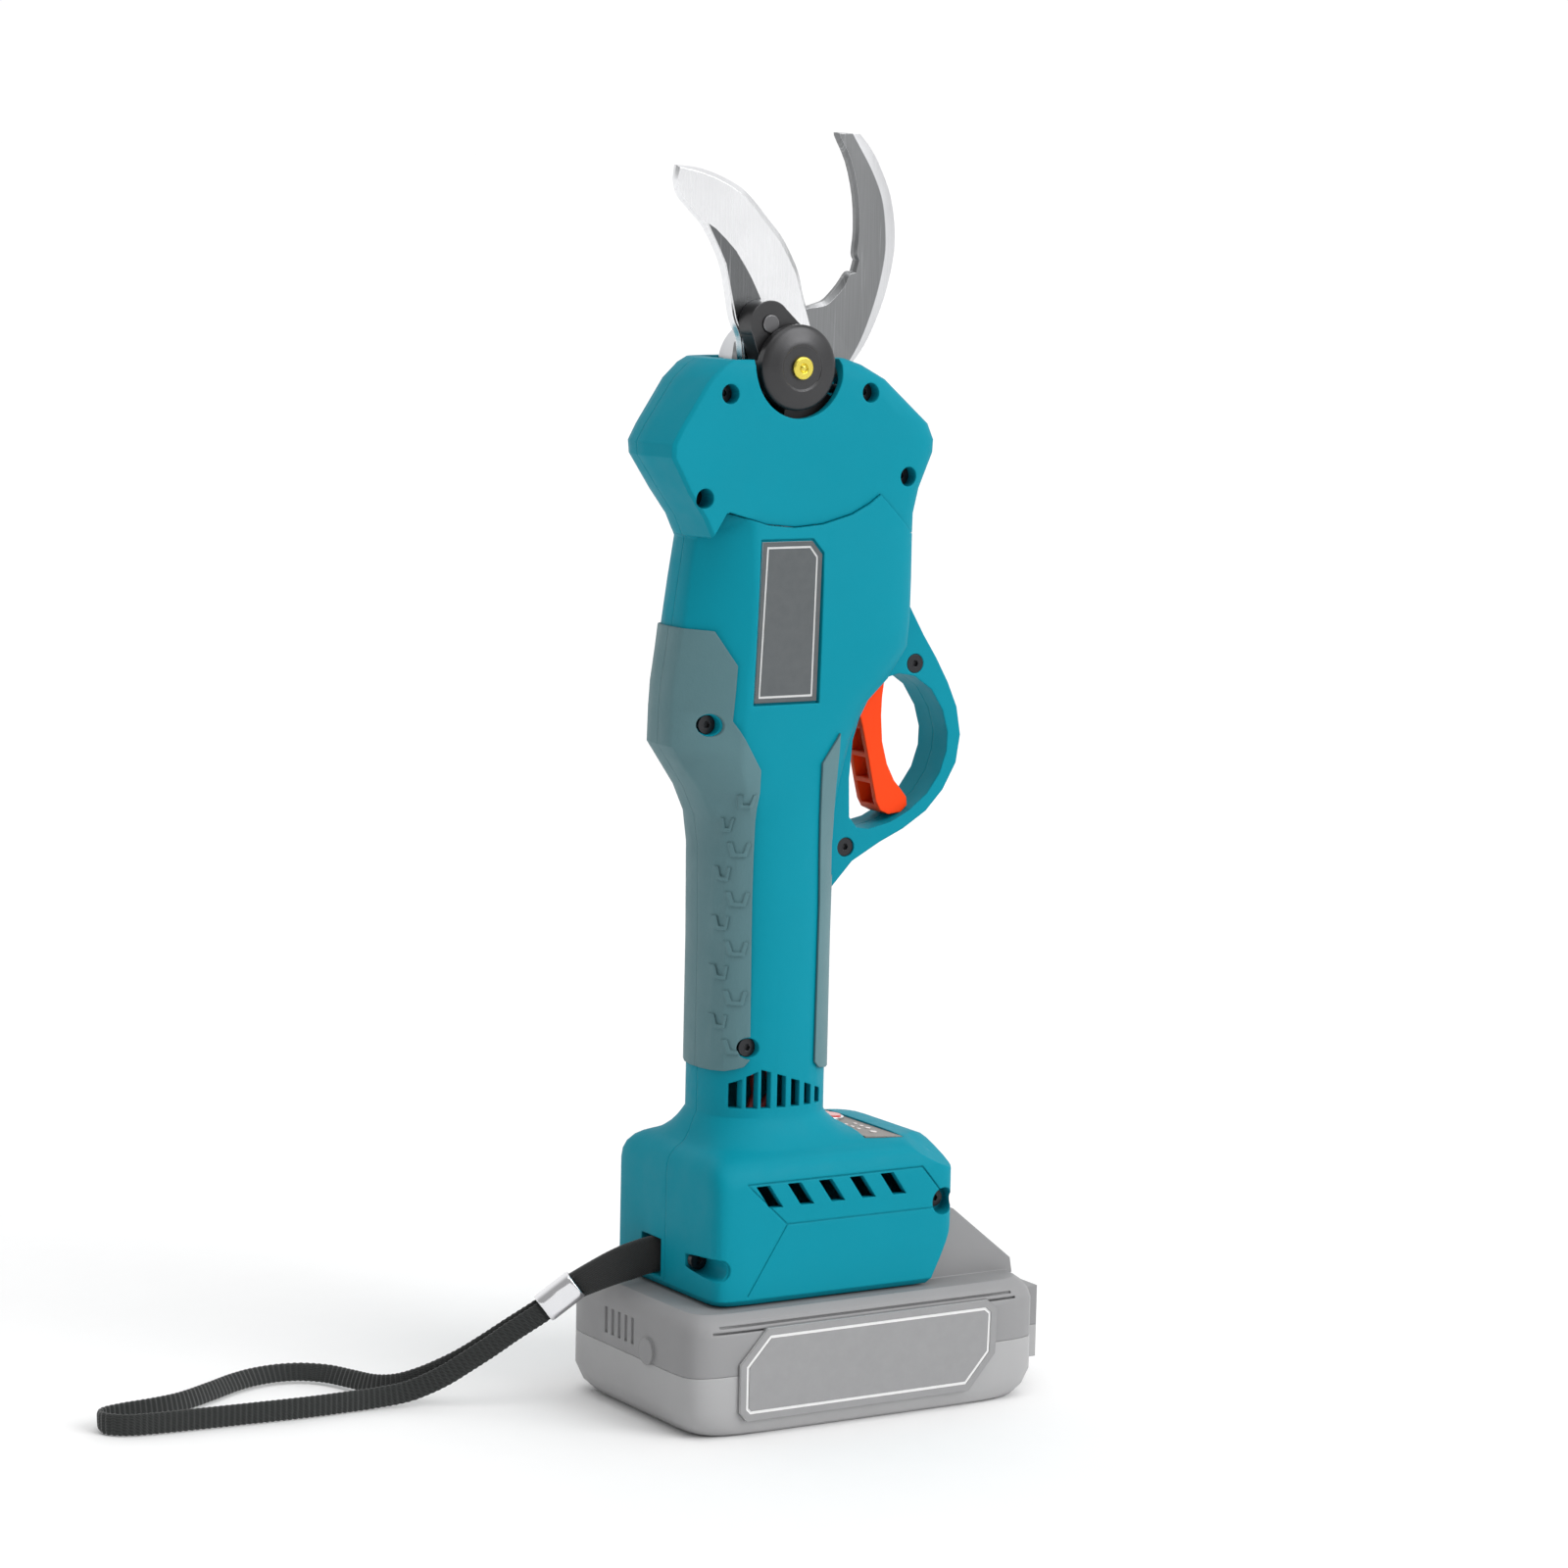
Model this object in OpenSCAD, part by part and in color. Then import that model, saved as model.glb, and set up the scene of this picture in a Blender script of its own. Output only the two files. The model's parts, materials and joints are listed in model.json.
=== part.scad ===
// Cordless pruning shears: pistol body, blade head with bevel drive, trigger, battery pack, wrist strap.
// Units are millimetres. +Z runs up the handle, +X is the trigger side, -Y is the front.

/* [Body] */
// height of the whole tool body above the ground
body_top = 332.5; // [320:0.5:345]
// width of the handle, rear to trigger side
grip_width = 42.6; // [38:0.2:50]
// half thickness of the handle
grip_half = 19.8; // [18:0.1:24]
// half thickness of the head at its middle
head_half = 18.2; // [15:0.1:22]
// wall of the moulded shells
shell_wall = 2.6; // [1.8:0.1:4]
// height of the rubber skin above the shell
skin = 0.9; // [0.4:0.1:2]

/* [Blades] */
// blade pivot, sideways from the handle axis
pivot_x = 1.3; // [-4:0.1:6]
// blade pivot height
pivot_z = 330; // [315:0.5:345]
// radius of the pivot bolt
bolt_r = 5; // [3:0.1:7]
// thickness of each blade
blade_t = 2.9; // [2:0.1:4]
// radius of the pivot disc at the front
disc_r = 13.3; // [10:0.1:16]
// radius of the aluminium lug behind the blades
lug_r = 13.8; // [12:0.1:17]

/* [Drive] */
// distance from the blade pivot to the middle of the bevel teeth
gear_r = 28; // [24:0.5:30]
// teeth on the bevel pinion
pinion_teeth = 9; // [8:1:12]
// bevel reduction, sector to pinion
bevel_ratio = 4.6667; // [3:0.0001:6]
// radius of the motor can
motor_r = 16.2; // [14:0.1:17]
// orbit radius of the planet gears
orbit_r = 9.4; // [8:0.1:10]
// pitch radius of the sun and planet gears
planet_r = 4.7; // [4:0.1:5]

/* [Trigger] */
// trigger pivot, sideways
trig_x = 35; // [30:0.5:42]
// trigger pivot height
trig_z = 236; // [225:0.5:245]
// half width of the trigger
trig_half = 5.8; // [5:0.1:9]
// half thickness of the finger guard
guard_half = 8.5; // [7:0.1:11]

/* [Battery] */
// rear end of the pack
pack_x0 = -44; // [-50:0.5:-36]
// front end of the pack
pack_x1 = 86; // [78:0.5:95]
// half width of the pack
pack_half = 40.5; // [34:0.5:42]
// height of the pack
pack_h = 39; // [34:0.5:44]
// radius of one cell
cell_r = 9.2; // [9:0.05:10.5]
// length of one cell
cell_len = 65; // [65:0.5:70]

/* [Strap] */
// width of the webbing at the body
strap_w = 12; // [8:0.5:15]
// width of the loop webbing
loop_w = 7; // [5:0.1:12]
// thickness of the webbing
strap_t = 2; // [1:0.1:3]

/* [Hidden] */
$fn = 48;

gap = 0.05;
ring_pts = 28;
seam_gap = 0.25;
mark_rise = 0.5;
hw = grip_width / 2;
panel_x = 34.6;
panel_z = 86.9;
panel_tilt = 5;
button_y = 9.5;
pinion_r = gear_r / bevel_ratio;
cone_a = atan(pinion_r / gear_r);
sector_pitch = 360 / (pinion_teeth * bevel_ratio);
cell_pitch = 19.3;
cell_x0 = -18.6;
cell_z = 14;
term_y = -14;
term_pitch = 6;
teal = [0.0, 0.54, 0.63];
teal_grey = [0.4, 0.54, 0.57];
dark = [0.16, 0.16, 0.17];
steel = [0.72, 0.73, 0.75];
pack_grey = [0.68, 0.68, 0.69];
pack_dark = [0.56, 0.56, 0.57];

// body sections: height, rear edge, trigger-side edge, half thickness, corner exponent,
// exponent on the trigger side, width of the front facet, its share of the half thickness
body_rings = [
  [39.6, -29.5, 55.2, 31, 13],
  [41.5, -31, 57.2, 32.8, 16],
  [76, -31, 57.2, 32.8, 16],
  [79, -30.8, 56.9, 32.5, 15],
  [81.6, -30.1, 56.2, 31.3, 14],
  [83.6, -28.8, 55.2, 29.8, 12],
  [84.9, -27.3, 53.8, 28.3, 9.6],
  [85.8, -25.8, 50.8, 26.6, 7.4],
  [86.7, -24.8, 43, 25.4, 5],
  [87.6, -24.1, 35.6, 24.6, 4.2],
  [89.2, -23.3, 28.8, 23, 3.4],
  [91.2, -22.5, 25.4, 21.6, 2.9],
  [93.6, -21.6, 23, 20.5, 2.5],
  [95.5, -hw + 0.8, hw + 0.8, grip_half, 2.4],
  [150, -hw + 0.8, hw + 0.8, grip_half, 2.4],
  [180, -hw + 0.3, hw + 1.2, grip_half, 2.4],
  [190, -22.6, 23.8, grip_half, 2.4],
  [199, -26.6, 25.2, 20, 2.5, 2.6, 11, 0.5],
  [207, -32, 26.6, 20.3, 2.6, 3, 14, 0.6],
  [213, -36.2, 27.6, 20.5, 2.6, 3.4, 18, 0.64],
  [224, -36, 32, 20.6, 2.6, 3.8, 18.6, 0.64],
  [232, -35.4, 40, 20.6, 2.7, 4.4, 18.4, 0.64],
  [242, -33.8, 45.9, 20.6, 2.8, 5.6, 18, 0.64],
  [251.5, -32.6, 46.4, 20.5, 2.8, 6, 17.4, 0.64],
  [264, -30.8, 46.6, 20.3, 2.8, 6, 16, 0.66],
  [277, -28.8, 46.8, 19.7, 2.8, 6, 13.6, 0.68],
  [284, -31.8, 46.8, 19.3, 2.9, 6.5, 16.6, 0.68],
  [292, -38.4, 48, 19, 3, 7, 22.4, 0.68]];

// head sections, in the same form
head_rings = [
  [264, -31.2, 46.8, head_half, 2.8, 7, 3, 0.8],
  [277, -29.2, 47, head_half, 2.8, 7, 0.6, 0.8],
  [284, -32.4, 47, head_half, 2.9, 7.4, 0.5, 0.8],
  [292, -38.4, 48.8, head_half, 3, 8, 0.8, 0.8],
  [303, -46, 53.7, head_half, 3, 8, 2.4, 0.8],
  [307, -46.4, 53.9, head_half, 3, 8, 3, 0.8],
  [312, -43.6, 51.6, head_half, 3, 8, 3, 0.8],
  [326, -34, 35.6, head_half - 0.4, 3, 7, 3, 0.8],
  [330.6, -29, 27.2, head_half - 1.1, 3, 6, 3, 0.8],
  [body_top, -25.6, 22, head_half - 2.4, 3, 5, 3.4, 0.8]];

// line between the lower shells and the head covers
seam_line = [[-60, 276], [-29.6, 277.4], [-24.4, 285.6], [-23, 286], [-10, 282], [0, 281],
  [10, 281.8], [20.6, 284.6], [27, 287.8], [31, 290.6], [44, 278], [60, 277]];

// shell screws: sideways, height, depth of the head seat, reach of the boss
head_screws = [[-23.7, 322.2, 11.5, 17], [27.1, 322.1, 11.5, 17], [-32.2, 290.4, 9, 17],
  [41.8, 295.7, 11, 17]];
lower_screws = [[-27, 220, 10.8, 13.4], [52, 235.5, 6.5, 8], [27.5, 178, 6, 8], [-12, 118, 14, 16]];
// screws of the base corners
base_screws = [[-27.8, 51.4, 13.7], [52.4, 66, 25]];
// slanted screw well that opens through the rear face of the base
well_at = [-30.4, -33, 51.4];
well_turn = -7;
well_r = 3.5;
well_depth = 20;

module prism(pts, y0, y1) {
  translate([0, y1, 0]) rotate([90, 0, 0]) linear_extrude(y1 - y0) polygon(pts);
}

module rod(x, z, r, y0, y1) {
  translate([x, y1, z]) rotate([90, 0, 0]) cylinder(r = r, h = y1 - y0);
}

module box(x0, x1, y0, y1, z0, z1) {
  translate([x0, y0, z0]) cube([x1 - x0, y1 - y0, z1 - z0]);
}

// point k of the quarter of a section that has the facet, from its side to its front
function facet_point(r, k) = let (
    turn = r[7] * r[3],
    slope = [r[6], turn] / norm([r[6], turn]),
    low = [r[1], r[3] - turn],
    high = [r[1] + r[6], r[3]],
    soft = min(1, 0.4 * low[1]),
    left = (r[2] - r[1]) / 2 - r[6],
    line = [[low[0], 0.25 * low[1]], low - [0, soft], low + slope * soft, high - slope * soft,
      high + [soft, 0], high + [0.4 * left, 0], high + [0.8 * left, 0]])
  line[k];

// point i of n round a section, at its height
function ring_point(r, i, n) = let (
    a = (i + 0.5) * 360 / n,
    c = cos(a),
    s = sin(a),
    e = 2 / (c > 0 && r[5] != undef ? r[5] : r[4]),
    f = c < 0 && s < 0 && r[6] != undef ? facet_point(r, i - n / 2) : undef)
  f == undef ? [(r[1] + r[2]) / 2 + (r[2] - r[1]) / 2 * sign(c) * pow(abs(c), e),
    r[3] * sign(s) * pow(abs(s), e), r[0]] : [f[0], -f[1], r[0]];

module loft(rings, n = ring_pts) {
  m = len(rings);
  pts = [for (r = rings) for (i = [0:n - 1]) ring_point(r, i, n)];
  side = [for (k = [0:m - 2]) for (i = [0:n - 1]) let (j = (i + 1) % n)
    each [[k * n + i, (k + 1) * n + i, (k + 1) * n + j], [k * n + i, (k + 1) * n + j, k * n + j]]];
  low = [for (i = [0:n - 1]) i];
  high = [for (i = [0:n - 1]) m * n - 1 - i];
  polyhedron(pts, concat(side, [low, high]));
}

function grown(rings, d, lift = 0) =
  [for (r = rings) [r[0] + lift, r[1] - d, r[2] + d, r[3] + d, r[4], r[5], r[6], r[7]]];
function cut_rings(rings, z0, z1) = [for (r = rings) if (r[0] >= z0 && r[0] <= z1) r];

// one half of space, front or rear of the parting plane
module half(side) {
  if (side < 0) box(-80, 110, -60, -gap, 0, 360);
  else box(-80, 110, gap, 60, 0, 360);
}

module head_zone(d = 0) {
  prism(concat([for (p = seam_line) [p[0], p[1] + d]], [[60, 360], [-60, 360]]), -40, 40);
}

module guard_solid(grow = 0) {
  prism([[44, 262], [50, 253], [55, 244.5], [60, 237], [64.6, 229], [68.2, 221], [69.8, 212], [68.4, 203],
    [63.6, 194.5], [57.4, 188], [49, 182.8], [40, 178.8], [30, 173.4], [22, 165], [12, 160], [12, 262]],
    -guard_half - grow, guard_half + grow);
}

module guard_hole() {
  prism([[28.6, 187.5], [31.5, 184], [36, 183.3], [44, 185], [51, 188.4], [57.8, 193.6], [62.4, 200],
    [64.8, 207], [65, 213], [63, 220], [58.5, 227], [52, 231.5], [46, 232.6], [41, 231.4], [35.5, 226],
    [31.5, 219], [29.2, 212], [28.2, 200]], -30, 30);
}

module lower_form() {
  difference() {
    union() {
      loft(cut_rings(body_rings, 39, 292));
      guard_solid();
    }
    corner_facet();
  }
}

// space inside the lower shells
module lower_space() {
  loft(concat(grown([body_rings[1]], -shell_wall, -3.5),
    grown(cut_rings(body_rings, 75, 92), -shell_wall, -2.2),
    grown(cut_rings(body_rings, 93, 292), -shell_wall),
    [[300, -42, 47, 15.4, 3, 6, 22, 0.68]]));
}

module screw_bosses(list, side, r = 3.9) {
  for (p = list) {
    rod(p[0], p[1], r, side < 0 ? -p[3] : gap, side < 0 ? -gap : p[3]);
  }
}

module screw_holes(list, side) {
  for (p = list) {
    if (side < 0) {
      rod(p[0], p[1], 1.7, -30, 5);
      rod(p[0], p[1], 3.1, -30, -p[2]);
    } else {
      rod(p[0], p[1], 1.52, -5, p[2] - 1);
    }
  }
}

module base_vents() {
  for (i = [0:4])
    prism([[-17.5 + i * 11.4, 77.2], [-12.6 + i * 11.4, 77.2], [-7.6 + i * 11.4, 70], [-12.5 + i * 11.4, 70]],
      -36, -25);
}

module neck_vents() {
  tops = [106.4, 108.8, 111, 109.4, 107.6, 105.8, 104];
  lefts = [-16.6, -12.4, -8.1, -2.8, 2.3, 7.5, 12.3];
  wides = [3.2, 3.4, 3.2, 3.2, 3.2, 2.8, 2.4];
  for (i = [0:6])
    prism([[lefts[i], 98.6], [lefts[i] + wides[i], 98.6], [lefts[i] + wides[i], tops[i] + (i < 2 ? 1.6 : -1)],
      [lefts[i], tops[i]]], -30, i < 1 ? -7 : -12);
}

// tunnel for the rails of the pack, open towards the trigger side
module pack_bay() {
  prism([[46.5, 38], [62, 38], [62, 68], [58.6, 62]], -36, 36);
}

module rails() {
  box(-29.6, 46, -31, -22.2, 40, 42.4);
  box(-29.6, 46, 22.2, 31, 40, 42.4);
}

// places things on the indicator panel
module at_panel(y = 0) {
  translate([panel_x, y, panel_z]) rotate([0, panel_tilt, 0]) children();
}

module panel_pocket() {
  at_panel() translate([-7.2, -24.2, -1.2]) cube([14.4, 46.4, 8]);
}

module panel_seat() {
  intersection() {
    at_panel() translate([-9.5, -26, -3.8]) cube([19, 50, 3.6]);
    loft(cut_rings(body_rings, 75, 96));
  }
}

module button_hole() {
  at_panel(button_y) translate([0, 0, -8]) cylinder(r = 4.1, h = 12);
}

// slanted facet on the front corner of the base
module corner_facet() {
  translate([56.5, -16, 83.5]) rotate([0, 33.3, -46.8]) translate([-30, -30, 0]) cube([60, 60, 12]);
}

module lower_shell(side) {
  difference() {
    intersection() {
      lower_form();
      half(side);
    }
    difference() {
      union() {
        lower_space();
        intersection() {
          guard_solid(-2.4);
          prism([[25, 259], [46, 250], [51, 243], [54, 239], [44, 240], [38, 236], [31, 229],
            [24, 226]], -12, 12);
        }
      }
      screw_bosses(lower_screws, side);
      rails();
      panel_seat();
      strap_anchor(side);
      trigger_bosses(side);
      if (side < 0) {
        rod(base_screws[1][0], base_screws[1][1], 5.8, -31, -17);
        difference() {
          screw_well(well_r + 2, well_depth + 7.4);
          box(-24, -16, term_y - 4.1, term_y + 2 * term_pitch + 4.1, 40, 60);
        }
      }
    }
    screw_holes(lower_screws, side);
    guard_hole();
    trigger_space();
    rod(trig_x, trig_z, 1.52, -12, 12);
    head_zone(-seam_gap);
    pack_bay();
    if (side < 0) {
      base_pockets();
      panel_grooves();
      base_vents();
      neck_vents();
      plate_pocket();
    }
    panel_pocket();
    button_hole();
    if (side > 0) box(-36, -24, 2.4, 14.7, 42.7, 54.9);
  }
}

// shelves that hold the strap post
module strap_anchor(side) {
  if (side > 0) {
    box(-29, -18.4, 2.4, 17, 40, 42.6);
    box(-29, -18.4, 2.4, 17, 55.2, 57.8);
  }
}

// ears beside the trigger that carry its pin
module trigger_bosses(side) {
  rod(trig_x, trig_z, 3.8, side < 0 ? -17 : trig_half + 0.5, side < 0 ? -trig_half - 0.5 : 17);
}

module screw_well(r, depth) {
  translate(well_at) rotate([-90, 0, well_turn]) cylinder(r = r, h = depth);
}

module base_pockets() {
  screw_well(well_r, well_depth);
  translate([0, -6, 0]) screw_well(well_r, 8);
  rod(base_screws[1][0], base_screws[1][1], 4.4, -40, -base_screws[1][2]);
  for (p = base_screws) rod(p[0], p[1], 1.52, -p[2] - 1, -p[2] + 7);
}

// line from a to b cut into the front face of the base
module face_line(a, b, deep = 32.5, w = 0.5) {
  d = b - a;
  n = [-d[1], d[0]] / norm(d) * w / 2;
  prism([a + n, a - n, b - n, b + n], -40, -deep);
}

module panel_grooves() {
  face_line([-20, 42.6], [-6, 64.4]);
  face_line([-6.2, 64.4], [50, 64.4]);
  face_line([-6, 64.4], [-20.6, 78]);
  face_line([-20.6, 78], [44, 78], 32.2);
  face_line([44, 78], [52.4, 68], 32.2);
}

module plate_pocket() {
  prism([[-15, 226], [9, 226], [10, 273], [6.2, 277.4], [-12.8, 277.4]], -30, -18.9);
}

module trigger_space() {
  prism([[26, 214], [33, 217.5], [37.5, 223], [43, 231], [44, 240], [40, 243], [30, 243], [26, 238]],
    -trig_half - 0.5, trig_half + 0.5);
}

module housing_front() {
  color(teal) lower_shell(-1);
}

module housing_rear() {
  color(teal) lower_shell(1);
}

module head_form() {
  loft(head_rings);
}

module head_space() {
  loft(concat(grown(cut_rings(head_rings, 264, 328), -shell_wall),
    [[329.6, -26, 29, head_half - 5, 3, 4, 3, 0.8]]));
}

// opening in the crown for the blades, arm and pivot disc
module blade_mouth() {
  box(pivot_x - 19.5, pivot_x + 33, -5.8, 10.2, 316, 340);
  rod(pivot_x, pivot_z, 9, 5, 14.4);
  box(pivot_x - 9, pivot_x + 9, 5, 14.4, pivot_z, 340);
  prism([[-20.5, 340], [-18.5, 326], [pivot_x, 312], [pivot_x + 15, 326], [pivot_x + 15.8, 340]], -13.2, -4);
  rod(pivot_x, pivot_z, 15.7, -30, -4);
  box(pivot_x - 14.6, pivot_x + 15.7, -30, -4, pivot_z, 340);
}

module head_shell(side) {
  difference() {
    intersection() {
      head_form();
      half(side);
      head_zone(0);
    }
    difference() {
      head_space();
      screw_bosses(head_screws, side);
    }
    screw_holes(head_screws, side);
    blade_mouth();
  }
}

module head_cover_front() {
  color(teal) head_shell(-1);
}

module head_cover_rear() {
  color(teal) head_shell(1);
}

grip_line = [[-60, 251], [-44, 250.4], [-25.5, 249], [-20, 238.6], [-21.4, 221.5], [-12, 206], [-12.4, 165],
  [-12, 114.4], [-13.6, 112], [-18, 110.4], [-26, 109.6], [-60, 109.6]];
strip_line = [[12, 162], [11.4, 112], [13.4, 110], [18, 109.2], [30, 109.2], [30, 158], [24.6, 163],
  [24.2, 170], [19, 170], [17.6, 216], [16.4, 214], [11, 207]];

module skin_form(line, side, marks = false) {
  difference() {
    union() {
      intersection() {
        loft(grown(cut_rings(body_rings, 95, 264), skin));
        prism(line, side < 0 ? -40 : gap, side < 0 ? -gap : 40);
      }
      if (marks) chevrons(side);
    }
    loft(grown(cut_rings(body_rings, 95, 264), gap));
    guard_solid(gap);
    screw_holes_wide(side);
  }
}

module screw_holes_wide(side) {
  for (p = lower_screws) rod(p[0], p[1], 3.6, side < 0 ? -40 : 0, side < 0 ? 0 : 40);
}

// raised marks in two staggered columns on the skin
module chevrons(side) {
  intersection() {
    loft(grown(cut_rings(body_rings, 95, 264), skin + mark_rise));
    for (i = [0:5]) {
      chevron(-15.9, 118 + i * 15.6, 1, side);
      if (i < 5) chevron(-19.3, 125.8 + i * 15.6, 0.5, side);
    }
  }
}

module chevron(x, z, w, side) {
  prism([for (p = [[-2, -2], [1.6, -2], [2.6, 2.4], [1.5, 2.4], [0.8, -0.8], [-1.2, -0.8], [-2, 2.4],
    [-3, 2.4]]) [x + p[0] * w, z + p[1]]], side < 0 ? -40 : 4, side < 0 ? -4 : 40);
}

module grip_front() {
  color(teal_grey) skin_form(grip_line, -1, true);
}

module grip_rear() {
  color(teal_grey) skin_form(grip_line, 1);
}

module side_strip_front() {
  color(teal_grey) skin_form(strip_line, -1);
}

module side_strip_rear() {
  color(teal_grey) skin_form(strip_line, 1);
}

module rating_plate() {
  color(dark) difference() {
    prism([[-14.2, 226.8], [8.2, 226.8], [9.2, 272.4], [5.6, 276.6], [-12, 276.6]], -20, -18.9);
    difference() {
      prism([[-12.8, 228.2], [6.8, 228.2], [7.8, 271.8], [5, 275.2], [-10.7, 275.2]], -21, -19.7);
      prism([[-12.1, 228.9], [6.1, 228.9], [7.1, 271.5], [4.7, 274.5], [-10, 274.5]], -22, -18);
    }
  }
}

// indicator lights: across, along, radius
led_list = [[-1.4, -3.6, 0.7], [-1.4, -7.4, 0.7], [-1.4, -11.2, 0.7], [2.8, -2.4, 0.7], [2.8, -6.2, 0.7],
  [2.8, -10, 0.9], [0.8, -16.4, 1.2]];

module control_panel() {
  color([0.45, 0.45, 0.46]) at_panel() difference() {
    translate([-7, -24, -1.1]) cube([14, 46, 1.2]);
    translate([0, button_y, -3]) cylinder(r = 5.1, h = 6);
    for (p = led_list) translate([p[0], p[1], -3]) cylinder(r = p[2] + 0.05, h = 6, $fn = 24);
  }
}

module button_bezel() {
  color(steel) at_panel(button_y) difference() {
    translate([0, 0, -1.1]) cylinder(r = 5, h = 1.9);
    translate([0, 0, -3]) cylinder(r = 4.15, h = 6);
  }
}

module power_button() {
  color([0.8, 0.1, 0.1]) at_panel(button_y) union() {
    translate([0, 0, -2.6]) cylinder(r = 4.05, h = 3.9);
    translate([0, 0, -4.6]) cylinder(r = 2, h = 2.2);
  }
}

module status_leds() {
  color([0.9, 0.3, 0.3]) at_panel()
    for (p = led_list) translate([p[0], p[1], -1.1]) cylinder(r = p[2], h = 1.4, $fn = 24);
}

module screw_shape(p) {
  rod(p[0], p[1], 2.9, -p[2] - 2, -p[2] - gap);
  rod(p[0], p[1], 1.5, -p[2] - 0.5, p[2] - 1.5);
}

module housing_screws() {
  color(dark) for (p = concat(head_screws, lower_screws)) difference() {
    screw_shape(p);
    rod(p[0], p[1], 1.2, -p[2] - 3, -p[2] - 1, $fn = 6);
  }
  color(dark) for (p = base_screws) difference() {
    union() {
      rod(p[0], p[1], 2.8, -p[2] - 2, -p[2] - gap);
      rod(p[0], p[1], 1.5, -p[2] - 0.5, -p[2] + 6);
    }
    rod(p[0], p[1], 1.2, -p[2] - 3, -p[2] - 1, $fn = 6);
  }
}

trigger_line = [[42.4, 231], [41.6, 225], [41.4, 219], [42, 210.7], [44, 203.4], [46.8, 198], [49.5, 195],
  [51.6, 192.4], [51.9, 189.8], [49.6, 187.7], [45, 187.2], [42, 188.6], [40.4, 191.4], [38.8, 198],
  [36.8, 207], [34.4, 216.4], [32.6, 222], [30.4, 234], [32, 240], [38, 240.4], [41, 237]];

// hollow in the rear face of the trigger, split by two cross ribs
module trigger_pocket() {
  difference() {
    prism([[28, 214.5], [39.2, 215.2], [39.4, 210], [41.4, 202], [44.2, 196.4], [46.8, 193], [47.4, 191],
      [45.6, 189.6], [43, 190.4], [30, 190.4]], -trig_half + 1.9, trig_half - 1.9);
    box(28, 50, -20, 20, 197.2, 198.8);
    box(28, 50, -20, 20, 205.6, 207.2);
  }
}

module trigger() {
  color([1, 0.36, 0.13]) difference() {
    prism(trigger_line, -trig_half, trig_half);
    trigger_pocket();
    rod(trig_x, trig_z, 1.55, -20, 20);
    difference() {
      rod(trig_x, trig_z, 6.4, -2.2, 2.2);
      box(38.4, 44, -9, 9, 225, 245);
    }
    rod(36.4, 226, 2.05, -2, 2);
  }
}

module trigger_magnet() {
  color(steel) rod(36.4, 226, 2, -1.9, 1.9);
}

module trigger_pin() {
  color(steel) rod(trig_x, trig_z, 1.5, -11.5, 11.5);
}

module wire_ring(r, w) {
  rotate_extrude() translate([r, 0]) circle(r = w, $fn = 16);
}

module rod_ring(ro, ri, y0, y1) {
  difference() {
    rod(trig_x, trig_z, ro, y0, y1);
    rod(trig_x, trig_z, ri, y0 - 1, y1 + 1);
  }
}

// torsion spring round the trigger pin, with a leg up to the shell
module trigger_spring() {
  color(steel) union() {
    for (i = [-1:1]) rod_ring(2.9, 1.9, i * 1.3 - 0.5, i * 1.3 + 0.5);
    box(trig_x - 2.9, trig_x - 2.1, -1.7, 1.7, trig_z - 0.4, trig_z + 0.4);
    box(trig_x - 2.9, trig_x - 2.1, -0.4, 0.4, trig_z, trig_z + 7.4);
  }
}

module sensor_board() {
  color([0.1, 0.35, 0.2]) union() {
    box(25, 43, 9, 10.4, 243, 262);
    box(29, 34, 7.6, 9.1, 246, 250);
    box(36, 40, 6.8, 9.1, 253, 259);
  }
}

module at_drive(z = 0) {
  translate([pivot_x, 0, z]) children();
}

module tube(ro, ri, z0, z1) {
  translate([0, 0, z0]) difference() {
    cylinder(r = ro, h = z1 - z0);
    translate([0, 0, -1]) cylinder(r = ri, h = z1 - z0 + 2);
  }
}

module motor_can() {
  color(steel) at_drive() difference() {
    union() {
      tube(motor_r, motor_r - 1, 208, 256);
      tube(motor_r, 5, 208, 209.6);
      tube(motor_r, 5, 254.4, 256);
      tube(5.2, 2.06, 209.6, 213.6);
      tube(5.2, 2.06, 250.4, 254.4);
      tube(6.4, 5, 209.5, 213.6);
      tube(6.4, 5, 250.4, 254.5);
    }
    for (i = [0:5]) rotate([0, 0, i * 60]) translate([11, 0, 200]) cylinder(r = 2.6, h = 12);
  }
}

module motor_stator() {
  color([0.72, 0.4, 0.2]) at_drive(216) difference() {
    cylinder(r = motor_r - 1.02, h = 32);
    translate([0, 0, -1]) cylinder(r = 9.1, h = 34);
    for (i = [0:8]) rotate([0, 0, i * 40]) translate([9, -1, -1]) cube([4.6, 2, 34]);
  }
}

module motor_rotor() {
  color(dark) at_drive() union() {
    translate([0, 0, 217]) cylinder(r = 8.7, h = 30);
    translate([0, 0, 199]) cylinder(r = 2, h = 76);
  }
}

module motor_fan() {
  color(dark) at_drive(199.5) difference() {
    union() {
      tube(4.2, 2, 0, 6.6);
      tube(12.6, 2, 0, 1.2);
      for (i = [0:8]) rotate([0, 0, i * 40]) translate([3.6, -0.5, 0.6]) cube([8.8, 1, 5.6]);
    }
    translate([0, 0, -1]) cylinder(r = 2, h = 9);
  }
}

module notched_gear(r, n, z0, z1) {
  difference() {
    translate([0, 0, z0]) cylinder(r = r, h = z1 - z0);
    for (i = [0:n - 1]) rotate([0, 0, i * 360 / n]) translate([r + 0.2, 0, z0 - 1])
      cylinder(r = 0.62, h = z1 - z0 + 2, $fn = 6);
  }
}

module sun_gear() {
  color(steel) at_drive() difference() {
    notched_gear(planet_r - 0.15, 14, 261, 279);
    translate([0, 0, 250]) cylinder(r = 2, h = 40);
  }
}

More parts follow.
